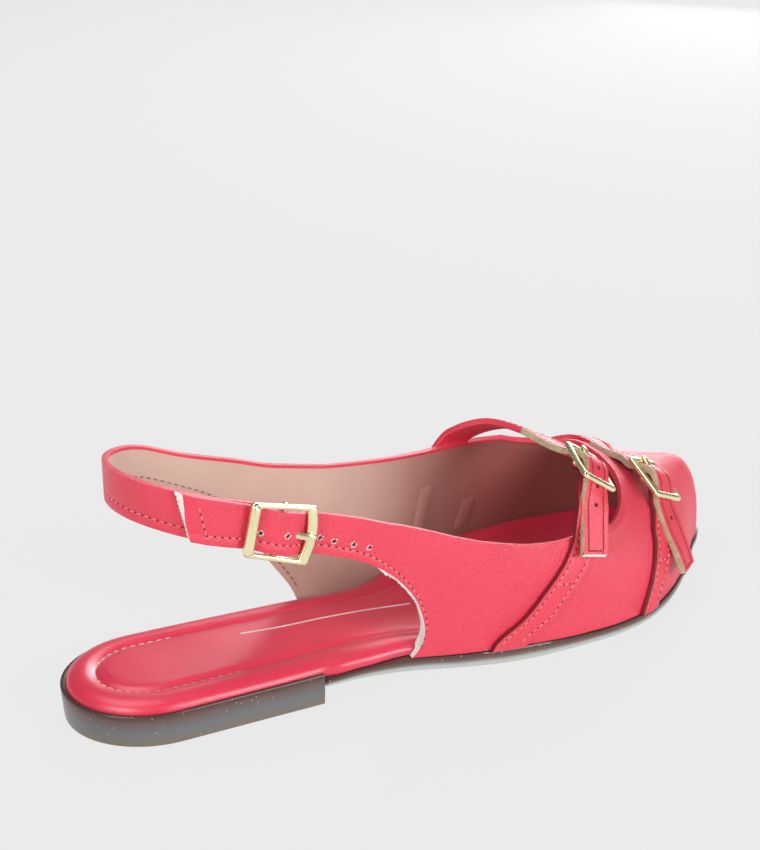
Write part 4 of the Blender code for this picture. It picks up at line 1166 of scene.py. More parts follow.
def make_band(name, grid, thick, node_name, raw_from, slant=0.0, edge_shade=False):
    """Thickens a band both ways. Its sides are raw from a row on, its cut end can be slanted, and a tab's
    rear side can be coloured dark as painted shade.
    """
    normals = grid_normals(grid)
    groove = sum(np.exp(-((BAND_COLUMNS - BAND_COLUMNS[c]) / 0.045) ** 2) for c in STITCH_COLUMNS)
    grid = grid + normals * (0.16 * groove)[None, :, None]
    band = lay_pattern(name, grid)
    rows = np.repeat(np.arange(len(grid)), grid.shape[1]).astype(np.float32)
    band.data.attributes.new("row", "FLOAT", "POINT").data.foreach_set("value", rows)
    for material in (strap_leather, strap_edge, raw_edge, rear_edge_shade):
        band.data.materials.append(material)
    apply_modifier(band, "doubled_leather", "SOLIDIFY", thickness=thick * MM, offset=0.0,
                   material_offset_rim=1, use_even_offset=False)
    tidy_mesh(band)
    row, points, last_row = stored(band, "row"), coords(band), len(grid) - 1.5
    middle_x = place(grid.mean(1))[:, 0]
    faced = (points - place(grid[-1].mean(0))) @ -normals[-1].mean(0)
    points[(row > last_row) & (faced > 0)] -= unit(grid[-1] - grid[-4]).mean(0) * slant * MM
    band.data.vertices.foreach_set("co", points.reshape(-1))
    for face in band.data.polygons:
        at = row[list(face.vertices)]
        if face.material_index != BAND_SIDE:
            continue
        # A tab's rear side takes the dark finish: painted shade along the line where it meets the upper.
        if edge_shade and face.center.x < middle_x[int(round(at.mean()))]:
            face.material_index = BAND_EDGE_SHADE
        elif at.mean() < raw_from:
            face.material_index = BAND_FACE
        elif at.min() > last_row:
            face.material_index = BAND_END
    apply_modifier(band, "round_edges", "BEVEL", width=0.3 * MM, segments=2, limit_method="ANGLE",
                   angle_limit=math.radians(55), use_clamp_overlap=True)
    smooth(band, 50)
    adopt(band, "red_leather", node_name)
    return band


print("bands have", len(BAND_COLUMNS), "columns")

# %% [markdown]
# The rear strap is sewn up the inner wall, arches free over the throat and goes down through its buckle to a
# slanted end. Its tab is sewn up the outer wall and folds round the buckle's bar. A flat strip could be bent
# step by step, but listed rows for the sewn foot and points for the free run can each be set against the
# photograph. The tab's rear edge is lifted a little, which leaves a thin dark line, and its side is coloured
# dark as painted shade.

# %% Rear strap and its tab
STRAP_ACROSS = (0.82, 0.04, -0.57)
NEVER_RAW = 10**6         # more rows than a band has: all its sides are finished
RAW_FROM = (176.0, 12.5, 61.5)      # near the arch's top, where the rear strap's sides begin to be raw
over_bar = BAR_RADIUS + GAP + TAB_THICK + 0.1 + STRAP_THICK / 2
rear_seat = Seat((184.0, -15.5, 57.2), (-0.143, -0.951, -0.273), (0.554, -0.305, 0.774), 8.4, 6.9, 1.6)
rear_foot = sewn_grid(((127.0, 1.0, 139.0, 1.0), (137.0, 0.955, 149.0, 0.96), (144.0, 0.87, 155.0, 0.89),
                       (149.5, 0.77, 159.5, 0.79), (153.8, 0.66, 163.2, 0.64)), 40, STRAP_THICK)
rear_run = [(160.9, 39.6, 51.4), (164.6, 36.6, 55.3), (172.8, 28.0, 60.3), (178.3, 14.6, 60.9),
            (181.4, 2.6, 60.2)]
rear_run += strap_wave(rear_seat, over_bar)
rear_run += [(180.1, -26.9, 49.0), (177.9, -31.0, 42.0), (176.1, -34.5, 34.5)]
rear_widths = [(0.86, 0.08, -0.48), (0.89, 0.14, -0.42), (0.91, 0.11, -0.39), (0.87, 0.07, -0.48),
               (0.91, 0.08, -0.40)]
rear_widths += [STRAP_ACROSS] * 5
rear_widths += [(0.878, -0.167, -0.448), (0.854, -0.129, -0.504), (0.85, -0.136, -0.509)]
rear_strap_grid = band_grid(rear_foot, rear_run, rear_widths, 150)
rear_tab_foot = sewn_grid(((138.0, -1.0, 151.0, -1.0), (149.8, -0.95, 162.9, -0.94),
                           (157.9, -0.873, 169.6, -0.86), (165.0, -0.779, 176.0, -0.76),
                           (169.6, -0.69, 180.0, -0.66)), 44, TAB_THICK)
rear_tab_run = [rear_seat.at(14.0, -7.6), rear_seat.at(8.0, -4.3), rear_seat.at(3.8, -0.5)]
rear_tab_run += loop_path(rear_seat, TAB_THICK, 5.5, -3.0)[:8]
rear_tab_widths = [STRAP_ACROSS] + [rear_seat.width * -1] * (len(rear_tab_run) - 1)
rear_tab_grid = band_grid(rear_tab_foot, rear_tab_run, rear_tab_widths, 70)


def lift_rear_edge(grid, rows):
    """A sewn band's rear edge stands off the upper a little, which leaves a dark line under it."""
    fade = 1 - ease(np.arange(len(grid)), rows - 14, rows + 6)
    rise = 0.5 * (1 - ease(BAND_COLUMNS, 0.0, 0.2))
    return grid - grid_normals(grid) * (fade[:, None] * rise)[..., None]


rear_tab_grid = lift_rear_edge(rear_tab_grid, 60)
raw_row = int(np.argmin(np.linalg.norm(rear_strap_grid[:, 0] - RAW_FROM, axis=1)))
rear_strap = make_band("rear_strap_leather", rear_strap_grid, STRAP_THICK, "rear_strap", raw_row, 2.2)
rear_tab = make_band("rear_tab_leather", rear_tab_grid, TAB_THICK, "rear_tab", NEVER_RAW, edge_shade=True)

# %% [markdown]
# The front strap and its tab are made in the same way, lower on the vamp. This strap lies on the leather
# almost to its buckle, so its sewn foot is long and its free run short. Its tab shows only a hook over
# the bar, so the fold stops there.

# %% Front strap and its tab
front_seat = Seat((218.0, -5.7, 41.8), (0.09, -0.884, -0.46), (0.52, -0.353, 0.777), 8.4, 7.2, 1.3)
front_foot = sewn_grid(((181.0, 1.0, 190.0, 1.0), (186.5, 0.82, 196.0, 0.80), (193.5, 0.58, 202.5, 0.54),
                        (201.0, 0.36, 209.5, 0.31), (206.5, 0.19, 215.5, 0.12)), 50, STRAP_THICK)
front_run = [(213.4, 17.8, 45.4), (216.6, 6.1, 45.7)]
front_run += strap_wave(front_seat, over_bar)
front_run += [(219.2, -17.8, 28.8), (221.2, -20.9, 21.4), (223.1, -23.2, 13.8)]
front_widths = [(0.80, 0.38, -0.46), (0.88, 0.28, -0.36), (0.87, 0.29, -0.38)]
front_widths += [front_seat.width * -1] * 4
front_widths += [(0.883, 0.442, -0.158), (0.834, 0.512, -0.205), (0.803, 0.553, -0.221)]
front_strap_grid = band_grid(front_foot, front_run, front_widths, 120)
front_tab_foot = sewn_grid(((198.0, -1.0, 205.2, -1.0), (203.1, -0.83, 211.5, -0.84),
                            (206.3, -0.68, 214.8, -0.73), (207.0, -0.60, 216.2, -0.64)), 36, TAB_THICK)
hook = np.radians(np.linspace(70, 165, 5))
hook_radius = BAR_RADIUS + GAP + TAB_THICK / 2
front_tab_run = [front_seat.at(11.0, -4.35), front_seat.at(8.5, -3.35), front_seat.at(4.4, -0.9)]
front_tab_run += [front_seat.at(hook_radius * math.cos(a), hook_radius * math.sin(a)) for a in hook]
front_tab_grid = band_grid(front_tab_foot, front_tab_run, [front_seat.width * -1] * len(front_tab_run), 50)
front_tab_grid = lift_rear_edge(front_tab_grid, 46)
front_strap = make_band("front_strap_leather", front_strap_grid, STRAP_THICK, "front_strap",
                        len(front_foot) + 2, 1.0)
front_tab = make_band("front_tab_leather", front_tab_grid, TAB_THICK, "front_tab", NEVER_RAW, edge_shade=True)

# %% [markdown]
# Heel, outsole and insole follow one outline: a rounded heel, then the feather of the last. It could be
# drawn as a curve for each, but one function that moves it inwards by any inset keeps them all parallel.

# %% The sole's outline
HEEL_HALF_WIDTH, HEEL_LENGTH, HEEL_ROUND, HEEL_MEDIAL_TAPER = 27.2, 79.0, 29.5, 2.0
HEEL_SEAT_Z, HEEL_RIM_Z, HEEL_RIM_WALL, HEEL_FOOT_INSET = 6.6, 11.3, 1.6, 0.7
SOLE_PROFILE = np.array((           # x, underside, top of the edge
    (0.0, 7.0, 9.0), (79.0, 7.0, 9.4), (92.0, 7.0, 10.3), (105.0, 6.0, 10.3), (130.0, 2.6, 7.5),
    (148.0, 0.5, 5.9), (160.0, 0.0, 5.1), (175.0, 0.0, 4.3), (192.0, 0.0, 4.1), (212.0, 1.0, 4.7),
    (232.0, 2.4, 5.65), (255.0, 4.2, 7.3),
))


def sole_z(x):
    found = curve(SOLE_PROFILE[:, 0], SOLE_PROFILE[:, 1:], np.clip(np.ravel(x), 0, 255))
    return np.maximum(found[:, 0], 0.0).reshape(np.shape(x)), found[:, 1].reshape(np.shape(x))


def outline(stations, inset):
    """Outer and inner side's points of the sole's outline at the stations, moved inwards by inset."""
    stations = np.asarray(stations, float)
    cut = section(stations)
    back = np.clip(1 - stations / HEEL_ROUND, 0, 1)
    heel = HEEL_HALF_WIDTH * np.sqrt(1 - back**2)
    sides = []
    for side, name in ((-1, "lateral"), (1, "medial")):
        x = np.where(stations < HEEL_LENGTH, stations, cut[name + "_x"])
        taper = HEEL_MEDIAL_TAPER * np.clip((stations - HEEL_ROUND) / (HEEL_LENGTH - HEEL_ROUND), 0, 1) ** 2
        behind = heel - (taper if side > 0 else 0)
        y = side * np.where(stations < HEEL_LENGTH, behind, side * cut[name + "_y"])
        sides.append(np.stack([x, y], -1))
    loop = np.concatenate([sides[0], sides[1][::-1]])
    ahead = np.roll(loop, -1, 0) - np.roll(loop, 1, 0)
    count = len(stations)
    ahead[[0, -1]] = (0.0, -1.0)
    if stations[-1] == TIP:
        ahead[[count - 1, count]] = loop[count + 1] - loop[count - 2]
    else:
        ahead[count - 1] = loop[count - 1] - loop[count - 2]
        ahead[count] = loop[count + 1] - loop[count]
    inward = unit(np.stack([-ahead[:, 1], ahead[:, 0]], -1))
    loop = loop + inward * np.reshape(inset, (-1, 1))
    return loop[:count], loop[count:][::-1]


def stations_along(first, last, count, crowd_back, crowd_tip):
    share = np.linspace(0, 1, count)
    if crowd_back:
        share = np.where(share < 0.5, 2 * share**2, share)
    if crowd_tip:
        share = np.where(share > 0.5, 1 - 2 * (1 - share) ** 2, share)
    return first + (last - first) * share


heel_stations = stations_along(0.0, HEEL_LENGTH, 70, True, False)
heel_sides = outline(heel_stations, np.zeros(2 * len(heel_stations)))
print("heel width at its front:", np.ptp([side[-1, 1] for side in heel_sides]).round(1))

# %% [markdown]
# The heel block is a low piece of rubber with a flat front and a thin rim round the insole. Extruding the
# outline would give straight sides, but this one draws in towards the floor and its rim is rounded, so
# it is laid as a strip of levels, each with its own inset. Floor, seat and front are then filled.

# %% Heel block


def arc(inset):
    """The heel's outline from its outer front corner round the back to the inner one."""
    lateral, medial = outline(heel_stations, np.full(2 * len(heel_stations), inset))
    loop = np.concatenate([lateral[::-1], medial[1:]])
    loop[[0, -1], 0] = HEEL_LENGTH
    return loop


HEEL_LEVELS = (           # inset from the outline, height
    (HEEL_FOOT_INSET + 0.7, 0.0), (HEEL_FOOT_INSET + 0.25, 0.12), (HEEL_FOOT_INSET + 0.03, 0.5),
    (HEEL_FOOT_INSET - 0.05, 1.1), (0.45, 4.2), (0.2, 8.0), (0.02, HEEL_RIM_Z - 0.55),
    (0.06, HEEL_RIM_Z - 0.2), (0.22, HEEL_RIM_Z), (0.8, HEEL_RIM_Z + 0.06),
    (HEEL_RIM_WALL - 0.05, HEEL_RIM_Z - 0.1), (HEEL_RIM_WALL, HEEL_RIM_Z - 0.5), (HEEL_RIM_WALL, HEEL_SEAT_Z))
levels = np.array([np.column_stack([arc(inset), np.full(2 * len(heel_stations) - 1, z)])
                   for inset, z in HEEL_LEVELS])
heel = lay_pattern("heel_block", levels)


def mark_level(piece, values):
    """Stores 0 to 1 from the underside to the rim, for the rubber's bands."""
    layer = piece.data.attributes.new("level", "FLOAT", "POINT")
    layer.data.foreach_set("value", np.asarray(values, np.float32).reshape(-1))


mark_level(heel, levels[..., 2] / HEEL_RIM_Z)


def fill_border(piece, wanted):
    """In edit mode: fills the open edges that are wanted with a face."""
    bpy.ops.mesh.select_all(action="DESELECT")
    work = bmesh.from_edit_mesh(piece.data)
    for edge in work.edges:
        edge.select_set(edge.is_boundary and wanted(edge))
    bmesh.update_edit_mesh(piece.data)
    bpy.ops.mesh.edge_face_add()


def at_level(level):
    return lambda edge: all(abs(vert.co.z / MM - level) < 0.01 for vert in edge.verts)


edit(heel)
bpy.ops.mesh.select_mode(type="EDGE")
for wanted in (at_level(0.0), at_level(HEEL_SEAT_Z), lambda edge: True):
    fill_border(heel, wanted)
tidy_mesh(heel)
heel.data.materials.append(heel_rubber)
smooth(heel, 35)
adopt(heel, "brown_rubber", "heel")

# %% [markdown]
# The outsole is a thin sheet of rubber. It stands out a little round the upper, and behind the heel's
# front it hides inside the rim. It is laid as rings of the outline from its rounded lower edge upwards,
# and each open side is bridged across, station by station, which keeps the faces long and even.

# %% Outsole
OUTSOLE_MARGIN = 0.7
sole_rear = stations_along(0.0, HEEL_LENGTH + GAP, 30, True, False)
sole_front = stations_along(HEEL_LENGTH + 2 * GAP, TIP, 110, False, True)
sole_stations = np.concatenate([sole_rear, sole_front])
shown = np.concatenate([np.zeros(len(sole_rear)), np.ones(len(sole_front))])
shown = np.concatenate([shown, shown[::-1]])
SOLE_LEVELS = (           # inset where the edge shows, share of the edge's height
    (1.0, 0.0), (0.55, 0.02), (0.22, 0.1), (0.06, 0.22), (0.0, 0.4), (0.0, 0.8), (0.08, 0.95), (0.3, 1.0))
SLIVER = 1e-7             # metres: edges shorter than this are dropped


def sole_ring(inset, level):
    spread = np.where(shown > 0, inset - OUTSOLE_MARGIN, HEEL_RIM_WALL + GAP)
    lateral, medial = outline(sole_stations, spread)
    loop = np.concatenate([lateral, medial[::-1]])
    under, edge = sole_z(loop[:, 0])
    return np.column_stack([loop, under + (edge - under) * level])


rings = np.array([sole_ring(inset, level) for inset, level in SOLE_LEVELS])
rings = np.concatenate([rings, rings[:, :1]], 1)
outsole = lay_pattern("outsole_rubber", rings)
mark_level(outsole, np.repeat([level for _, level in SOLE_LEVELS], rings.shape[1]))


def bridge_sides(piece, steps, starts):
    """Bridges open rings from their outer to their inner side, merges doubles and closes what is open."""
    work = bmesh.new()
    work.from_mesh(piece.data)
    work.verts.ensure_lookup_table()
    for start in starts:
        for i in range(steps - 1):
            corners = [start + i, start + i + 1, start + 2 * steps - 2 - i, start + 2 * steps - 1 - i]
            work.faces.new([work.verts[c] for c in corners])
    bmesh.ops.remove_doubles(work, verts=work.verts, dist=MERGE)
    bmesh.ops.dissolve_degenerate(work, edges=work.edges, dist=SLIVER)
    open_edges = [edge for edge in work.edges if edge.is_boundary]
    if open_edges:
        bmesh.ops.holes_fill(work, edges=open_edges, sides=0)
    work.to_mesh(piece.data)
    work.free()
    return len(open_edges)


top_ring = (len(rings) - 1) * rings.shape[1]
print("outsole edges left open:", bridge_sides(outsole, len(sole_stations), (0, top_ring)))
tidy_mesh(outsole)
outsole.data.materials.append(sole_rubber)
smooth(outsole, 35)
adopt(outsole, "brown_rubber", "outsole")

# %% [markdown]
# The insole is a thin foam pad under soft leather. Its border rolls down to the rim, a stitch row pinches it
# all round the heel about a centimetre in, and the pinch runs on as a soft channel along both sides to the
# waist. A cloth simulation could stuff such a pad, but its border has to follow the rim and the upper
# closely. So the pad is laid as rings from the rim inwards, whose heights follow that profile, and the middle
# is bridged by a crowned grid.

# %% Padded insole
INSOLE_FRONT = 231.0


def insole_inset(stations):
    rim, waist, upper_side = HEEL_RIM_WALL + GAP * 0.5, 0.7, UPPER_WALL + 0.3
    breast = HEEL_LENGTH + GAP
    lateral = np.interp(stations, (breast, breast + 6, 97, 108), (rim, waist, waist, upper_side))
    medial = np.interp(stations, (breast - 3, breast + 9), (rim, upper_side))
    return np.concatenate([lateral, medial[::-1]])


pad_stations = np.concatenate([stations_along(0.0, HEEL_LENGTH + GAP, 60, True, False),
                               stations_along(HEEL_LENGTH + 2, INSOLE_FRONT, 90, False, False)])
pad_edge = insole_inset(pad_stations)
PAD_THICK = np.array((              # x, thickness
    (0, 5.9), (60, 5.7), (90, 4.7), (110, 4.2), (130, 5.2), (148, 6.1), (175, 6.5), (260, 6.0)))
pad_thick = curve(PAD_THICK[:, 0], PAD_THICK[:, 1], pad_stations)[:, 0]
pad_thick = np.concatenate([pad_thick, pad_thick[::-1]])
pad_reach = np.interp(pad_stations, (0, 110, 200, INSOLE_FRONT), (1, 1, 0.6, 0.22))
pad_reach = np.concatenate([pad_reach, pad_reach[::-1]])
PAD_PROFILE = (           # inset from the edge, share of the thickness; the dip is the stitched channel
    (0.0, 0.0), (0.0, 0.30), (0.25, 0.48), (0.7, 0.62), (1.3, 0.73), (2.1, 0.83), (3.1, 0.91), (4.3, 0.97),
    (5.6, 1.0), (6.9, 0.99), (8.0, 0.95), (8.8, 0.90), (9.4, 0.83), (9.8, 0.77), (10.2, 0.77), (10.7, 0.83),
    (11.4, 0.91), (12.4, 0.97), (13.6, 0.995))
CHANNEL_RING = 13


def pad_ring(inset, rise):
    settle = ease(inset, 1.5, 8.0)
    lateral, medial = outline(pad_stations, pad_edge * (1 - settle) + 1.5 * settle + inset * pad_reach)
    loop = np.concatenate([lateral, medial[::-1]])
    fade = 1 - 0.6 * ease(loop[:, 0], 60, 170)
    flat = min(1.0, inset / 4.0)
    level = rise if inset < 7 else flat - (flat - rise) * fade
    covered = ease(loop[:, 0], 112, 138)
    inner = np.arange(len(loop)) >= pad_steps
    if rise > 0:          # inside the upper the border lies against the wall
        level = 1 - (1 - level) * (1 - 0.75 * covered)
    curl = 3.0 * covered * inner * (1 - ease(inset, 1.0, 11.0)) * (rise > 0)    # up the inner wall
    return np.column_stack([loop, sole_z(loop[:, 0])[1] + GAP + pad_thick * level + curl])


pad_steps = len(pad_stations)
pad_rings = np.array([pad_ring(inset, rise) for inset, rise in PAD_PROFILE])
last_lateral, last_medial = pad_rings[-1, :pad_steps], pad_rings[-1, pad_steps:][::-1]
share = np.linspace(0, 1, 21)[None, :, None]
pad_middle = last_lateral[:, None] * (1 - share) + last_medial[:, None] * share
crown = 4 * share[..., 0] * (1 - share[..., 0])
pad_middle[..., 2] += (0.25 * crown + 0.12 * slow_noise(pad_middle, 30, 11) * crown)
pad_border = lay_pattern("padded_insole", np.concatenate([pad_rings, pad_rings[:, :1]], 1))
pad_top = lay_pattern("insole_middle", pad_middle)
insole = join_pieces(pad_border, pad_top)
print("insole edges closed at its ends:", bridge_sides(insole, pad_steps, (0,)))
tidy_mesh(insole)
insole.data.materials.append(insole_leather)
smooth(insole, 60)
adopt(insole, "insole_red", "insole")

# %% [markdown]
# Each buckle is a cast frame with a centre bar, and a prong bent round that bar. A frame is one bar bent
# into a ring, so it starts as a torus. Four bevelled boxes would show their joints. Here the torus's
# rings are led round two outlines with rounded corners, the frame's outer and inner edge, which lets
# every side have its own width: a round end bar, two thin rails and a wide, bowed bar under the prong.

# %% Buckle frames
CORNER_STEPS, SIDE_STEPS, BAR_SIDES = 9, 15, 16
OUTER_CORNER, INNER_CORNER = 1.7, 0.7
SQUARENESS = (2.8, 2.1, 2.8, 2.6)   # of each side's section: 2 is round, more is squarer


def rounded(corners, radius):
    """Closed outline: straight sides of SIDE_STEPS points and corners of CORNER_STEPS points."""
    corners = np.asarray(corners, float)
    before, after = unit(np.roll(corners, 1, 0) - corners), unit(np.roll(corners, -1, 0) - corners)
    share = np.linspace(0, 1, CORNER_STEPS)[:, None]
    arcs = [(c + b * radius) * (1 - share) ** 2 + 2 * c * share * (1 - share) + (c + a * radius) * share**2
            for c, b, a in zip(corners, before, after)]
    line = np.linspace(0, 1, SIDE_STEPS + 2)[1:-1, None]
    sides = [arcs[i][-1] * (1 - line) + arcs[(i + 1) % 4][0] * line for i in range(4)]
    return np.concatenate([part for pair in zip(arcs, sides) for part in pair])


def moved_in(corners, widths):
    """The corners of the inner outline: every side moved inwards by its own width."""
    corners = np.asarray(corners, float)
    ways = unit(np.roll(corners, -1, 0) - corners)
    starts = corners + np.column_stack([ways[:, 1], -ways[:, 0]]) * np.asarray(widths)[:, None]
    found = []
    for i in range(4):
        first, second = ways[i - 1], ways[i]
        step = np.linalg.solve(np.column_stack([first, -second]), starts[i] - starts[i - 1])[0]
        found.append(starts[i - 1] + first * step)
    return np.array(found)


def per_side(values):
    """A value for every point of an outline, eased from side to side in the corners."""
    share = ease(np.arange(CORNER_STEPS), 0, CORNER_STEPS - 1)
    return np.concatenate([np.concatenate([values[i - 1] + (values[i] - values[i - 1]) * share,
                                           np.full(SIDE_STEPS, values[i])]) for i in range(4)])


def seat_matrix(seat):
    """From a buckle's own axes (along the strap, along the bar, outwards) to the frame, in metres."""
    matrix = np.eye(4)
    matrix[:3, :3] = np.column_stack([seat.ahead, seat.width, seat.out])
    matrix[:3, 3] = place(seat.bar)
    return Matrix(matrix.tolist())


def frame_ring(name, seat, corners, widths, thicks, bow):
    """Frame from its four outer corners. Sides in order: upper rail, end bar, lower rail, prong bar."""
    outer, inner = rounded(corners, OUTER_CORNER), rounded(moved_in(corners, widths), INNER_CORNER)
    bar = slice(4 * CORNER_STEPS + 3 * SIDE_STEPS, None)
    arch = np.sin(np.linspace(0, math.pi, SIDE_STEPS + 2))[1:-1] * bow
    outer[bar, 0] -= arch
    inner[bar, 0] -= arch * 0.8
    thick = per_side(thicks)
    square = per_side(SQUARENESS)
    turn = np.linspace(0, 2 * math.pi, BAR_SIDES, endpoint=False)
    across = np.sign(np.cos(turn)) * np.abs(np.cos(turn)) ** (2 / square[:, None])
    rise = np.sign(np.sin(turn)) * np.abs(np.sin(turn)) ** (2 / square[:, None])
    flat = ((outer + inner) / 2)[:, None] + ((outer - inner) / 2)[:, None] * across[..., None]
    height = rise * thick[:, None] / 2 + seat.frame_lift + seat.frame_tilt * flat[..., 0]
    deselect()
    bpy.ops.mesh.primitive_torus_add(major_segments=len(outer), minor_segments=BAR_SIDES)
    ring = bpy.context.active_object
    ring.name = ring.data.name = name
    ring.data.vertices.foreach_set("co", (np.concatenate([flat, height[..., None]], -1) * MM).reshape(-1))
    ring.data.transform(seat_matrix(seat))
    tidy_mesh(ring)
    return ring


print("a frame's ring has", 4 * (CORNER_STEPS + SIDE_STEPS), "sections of", BAR_SIDES, "points")

# %% [markdown]
# The centre bar is a staple whose legs meet the frame's rails, and the prong is a flat wire hooked round
# it, which rises through the strap and rests on the far bar. Both are rods along a path. A bevelled curve
# would make them too, but a grid led along the path can draw its ends in and have a squarer section.

# %% Bars and prongs
PRONG_WIDE, PRONG_THICK = 2.2, 1.2
ROD_END = [0.35, 0.72, 0.93]        # how a rod draws in over its last rows


def rod(name, path, width_way, wide, thick, sides=14, power=2.0):
    """Rounded bar along a path. power 2 gives an ellipse, more gives a squarer bar."""
    middle, tangent, width = path_rows(path, width_way, 3 * len(path) + 10)
    out = np.cross(tangent, width)
    turn = np.linspace(0, 2 * math.pi, sides + 1)
    flat = np.sign(np.cos(turn)) * np.abs(np.cos(turn)) ** (2 / power) * wide / 2
    rise = np.sign(np.sin(turn)) * np.abs(np.sin(turn)) ** (2 / power) * thick / 2
    close = np.array(ROD_END + [1.0] * (len(middle) - 2 * len(ROD_END)) + ROD_END[::-1])[:, None, None]
    spread = width[:, None] * flat[None, :, None] + out[:, None] * rise[None, :, None]
    bar = lay_pattern(name, middle[:, None] + close * spread)
    edit(bar)
    bpy.ops.mesh.select_all(action="SELECT")
    bpy.ops.mesh.remove_doubles(threshold=MERGE)
    fill_border(bar, lambda edge: True)
    tidy_mesh(bar)
    return bar


def make_buckle(name, seat, corners, widths, thicks, bow):
    ring = frame_ring(name + "_buckle_frame", seat, corners, widths, thicks, bow)
    rail, top = seat.half_width, float(seat.frame_out(0)) - 0.3
    bend = min(1.2, 0.55 * top)
    leg = ((top, rail), (bend, rail), (0.1, rail - bend), (0, rail - 3))
    staple = [seat.at(0, out, width) for out, width in leg]
    staple += [seat.at(0, out, -width) for out, width in leg[::-1]]
    bar = rod(name + "_bar", staple, [seat.ahead] * len(staple), 2 * BAR_RADIUS, 2 * BAR_RADIUS)
    ring = join_pieces(ring, bar)
    ring.data.materials.append(gold)
    smooth(ring, 40)
    adopt(ring, "pale_gold", name + "_buckle")


def make_prong(name, seat):
    """Prong hooked round the bar. It rises through the strap and rests on the frame's far bar."""
    radius = BAR_RADIUS + 0.15 + PRONG_THICK / 2
    rest_out = float(seat.frame_out(-seat.half_length)) + (FRAME_THICK + PRONG_THICK) / 2 + 0.12
    turns = np.linspace(math.radians(-75), math.pi / 2, 8)
    path = [seat.at(radius * math.cos(a), radius * math.sin(a)) for a in turns]
    reach = seat.half_length
    path += [seat.at(-reach * 0.55, rest_out * 0.62 + radius * 0.38), seat.at(-reach, rest_out),
             seat.at(-reach - 1.5, rest_out - 0.25)]
    prong = rod(name + "_buckle_prong", path, [seat.width] * len(path), PRONG_WIDE, PRONG_THICK, 16, 3.0)
    prong.data.materials.append(gold)
    smooth(prong, 50)
    adopt(prong, "pale_gold", name + "_prong")


def box_corners(seat, margin):
    long, wide = seat.half_length + margin, seat.half_width + margin
    return [(-long, wide), (long, wide), (long, -wide), (-long, -wide)]


SLING_CORNERS = [(-10.5, 10.1), (13.2, 9.5), (11.9, -8.2), (-11.9, -9.9)]
SLING_BOW, SLIM_BOW, SLIM_MARGIN = 1.3, 0.3, 1.1
SLIM, SLIM_THICK = (2.2, 2.7, 2.2, 2.7), (2.0, 2.2, 2.0, 2.2)
make_buckle("sling", sling_seat, SLING_CORNERS, (1.7, 3.7, 1.7, 3.5), (1.8, 3.3, 1.8, 2.1), SLING_BOW)
for name, seat in (("rear", rear_seat), ("front", front_seat)):
    make_buckle(name, seat, box_corners(seat, SLIM_MARGIN), SLIM, SLIM_THICK, SLIM_BOW)
for name, seat in (("sling", sling_seat), ("rear", rear_seat), ("front", front_seat)):
    make_prong(name, seat)

# %% [markdown]
# Thread is what makes the leather read as sewn. One stitch is a small bead, stretched along its row and sunk
# a little into the groove that waits for it, and one needle hole is a flat bead between two stitches, dark
# with painted shade for the hole. Each is modelled once, and its copies along a row are joined to one piece.
# An array along a curve would float off the wall, so every copy is seated on the nearest face of the finished
# leather.

# %% Thread and needle holes
rng = np.random.default_rng(7)


def bead(size, segments=6, rings=5):
    """Corners and faces of one small round bead."""
    deselect()
    bpy.ops.mesh.primitive_uv_sphere_add(segments=segments, ring_count=rings, radius=0.5)
    ball = bpy.context.active_object
    bpy.ops.object.mode_set(mode="EDIT")
    bpy.ops.mesh.select_all(action="SELECT")
    bpy.ops.transform.rotate(value=math.pi / 2, orient_axis="Y", center_override=(0, 0, 0))
    bpy.ops.transform.resize(value=size, center_override=(0, 0, 0))
    bpy.ops.object.mode_set(mode="OBJECT")
    model = coords(ball), [list(face.vertices) for face in ball.data.polygons]
    bpy.data.objects.remove(ball, do_unlink=True)
    return model


def seat_tree(piece):
    return BVHTree.FromPolygons([v.co.copy() for v in piece.data.vertices],
                                [list(face.vertices) for face in piece.data.polygons])


def read_line(line, run, at):
    """Points of a line at the given distances of its run."""
    return np.stack([np.interp(at, run, line[:, axis]) for axis in range(3)], -1)


def along_line(line, pitch, offset=0.0):
    """Places every pitch millimetres along a line, with the way the line runs."""
    run = travel(line)
    at = np.arange(pitch * (0.5 + offset), run[-1] - pitch * 0.3, pitch)
    spots = read_line(line, run, at)
    return spots, unit(read_line(line, run, at + 0.4) - spots + 1e-9)


def copies(model, tree, spots, ways, sink, jitter=0.0):
    """The model's copies on a surface: each lies along its way and stands square to the leather."""
    points, faces = model
    corners, polygons = [], []
    for spot, way in zip(spots, ways):
        near, normal, _, _ = tree.find_nearest(Vector(place(spot)))
        normal = np.array(normal)
        way = unit(way - (way @ normal) * normal + rng.normal(size=3) * jitter)
        axes = np.column_stack([way, np.cross(normal, way), normal])
        polygons += [[index + len(points) * len(corners) for index in face] for face in faces]
        corners.append(points * MM @ axes.T + np.array(near) + normal * sink * MM)
    return np.concatenate(corners), polygons


def sew(name, material, parts):
    """Joins lists of copies to one piece."""
    corners, faces, count = [], [], 0
    for part_corners, part_faces in parts:
        faces += [[index + count for index in face] for face in part_faces]
        corners.append(part_corners)
        count += len(part_corners)
    mesh = bpy.data.meshes.new(name)
    mesh.from_pydata(np.concatenate(corners).tolist(), [], faces)
    piece = bpy.data.objects.new(name, mesh)
    bpy.context.scene.collection.objects.link(piece)
    mesh.materials.append(material)
    tidy_mesh(piece)
    smooth(piece, 60)
    adopt(piece, None)


STITCH, HOLE = bead((1.85, 0.66, 0.62)), bead((1.1, 0.56, 0.24), 6, 4)
PITCH = 2.6
print("one stitch has", len(STITCH[1]), "faces, one hole", len(HOLE[1]))

# %% [markdown]
# A stitch row runs along the lower edge of the wing and the sling, and across the strap's cut end. The
# pattern knows how far each of its points lies from that edge, so the row is read from it, as a maker
# scribes a line beside the edge with a compass. The sling's row shows on the lining too, in brown.

# %% Rows along the upper's cut edges
STRAP_SEAM, SLING_SEAM = range(6, LATERAL_STRAP_ROWS - 1), range(2, MEDIAL_STRAP_ROWS - 2)


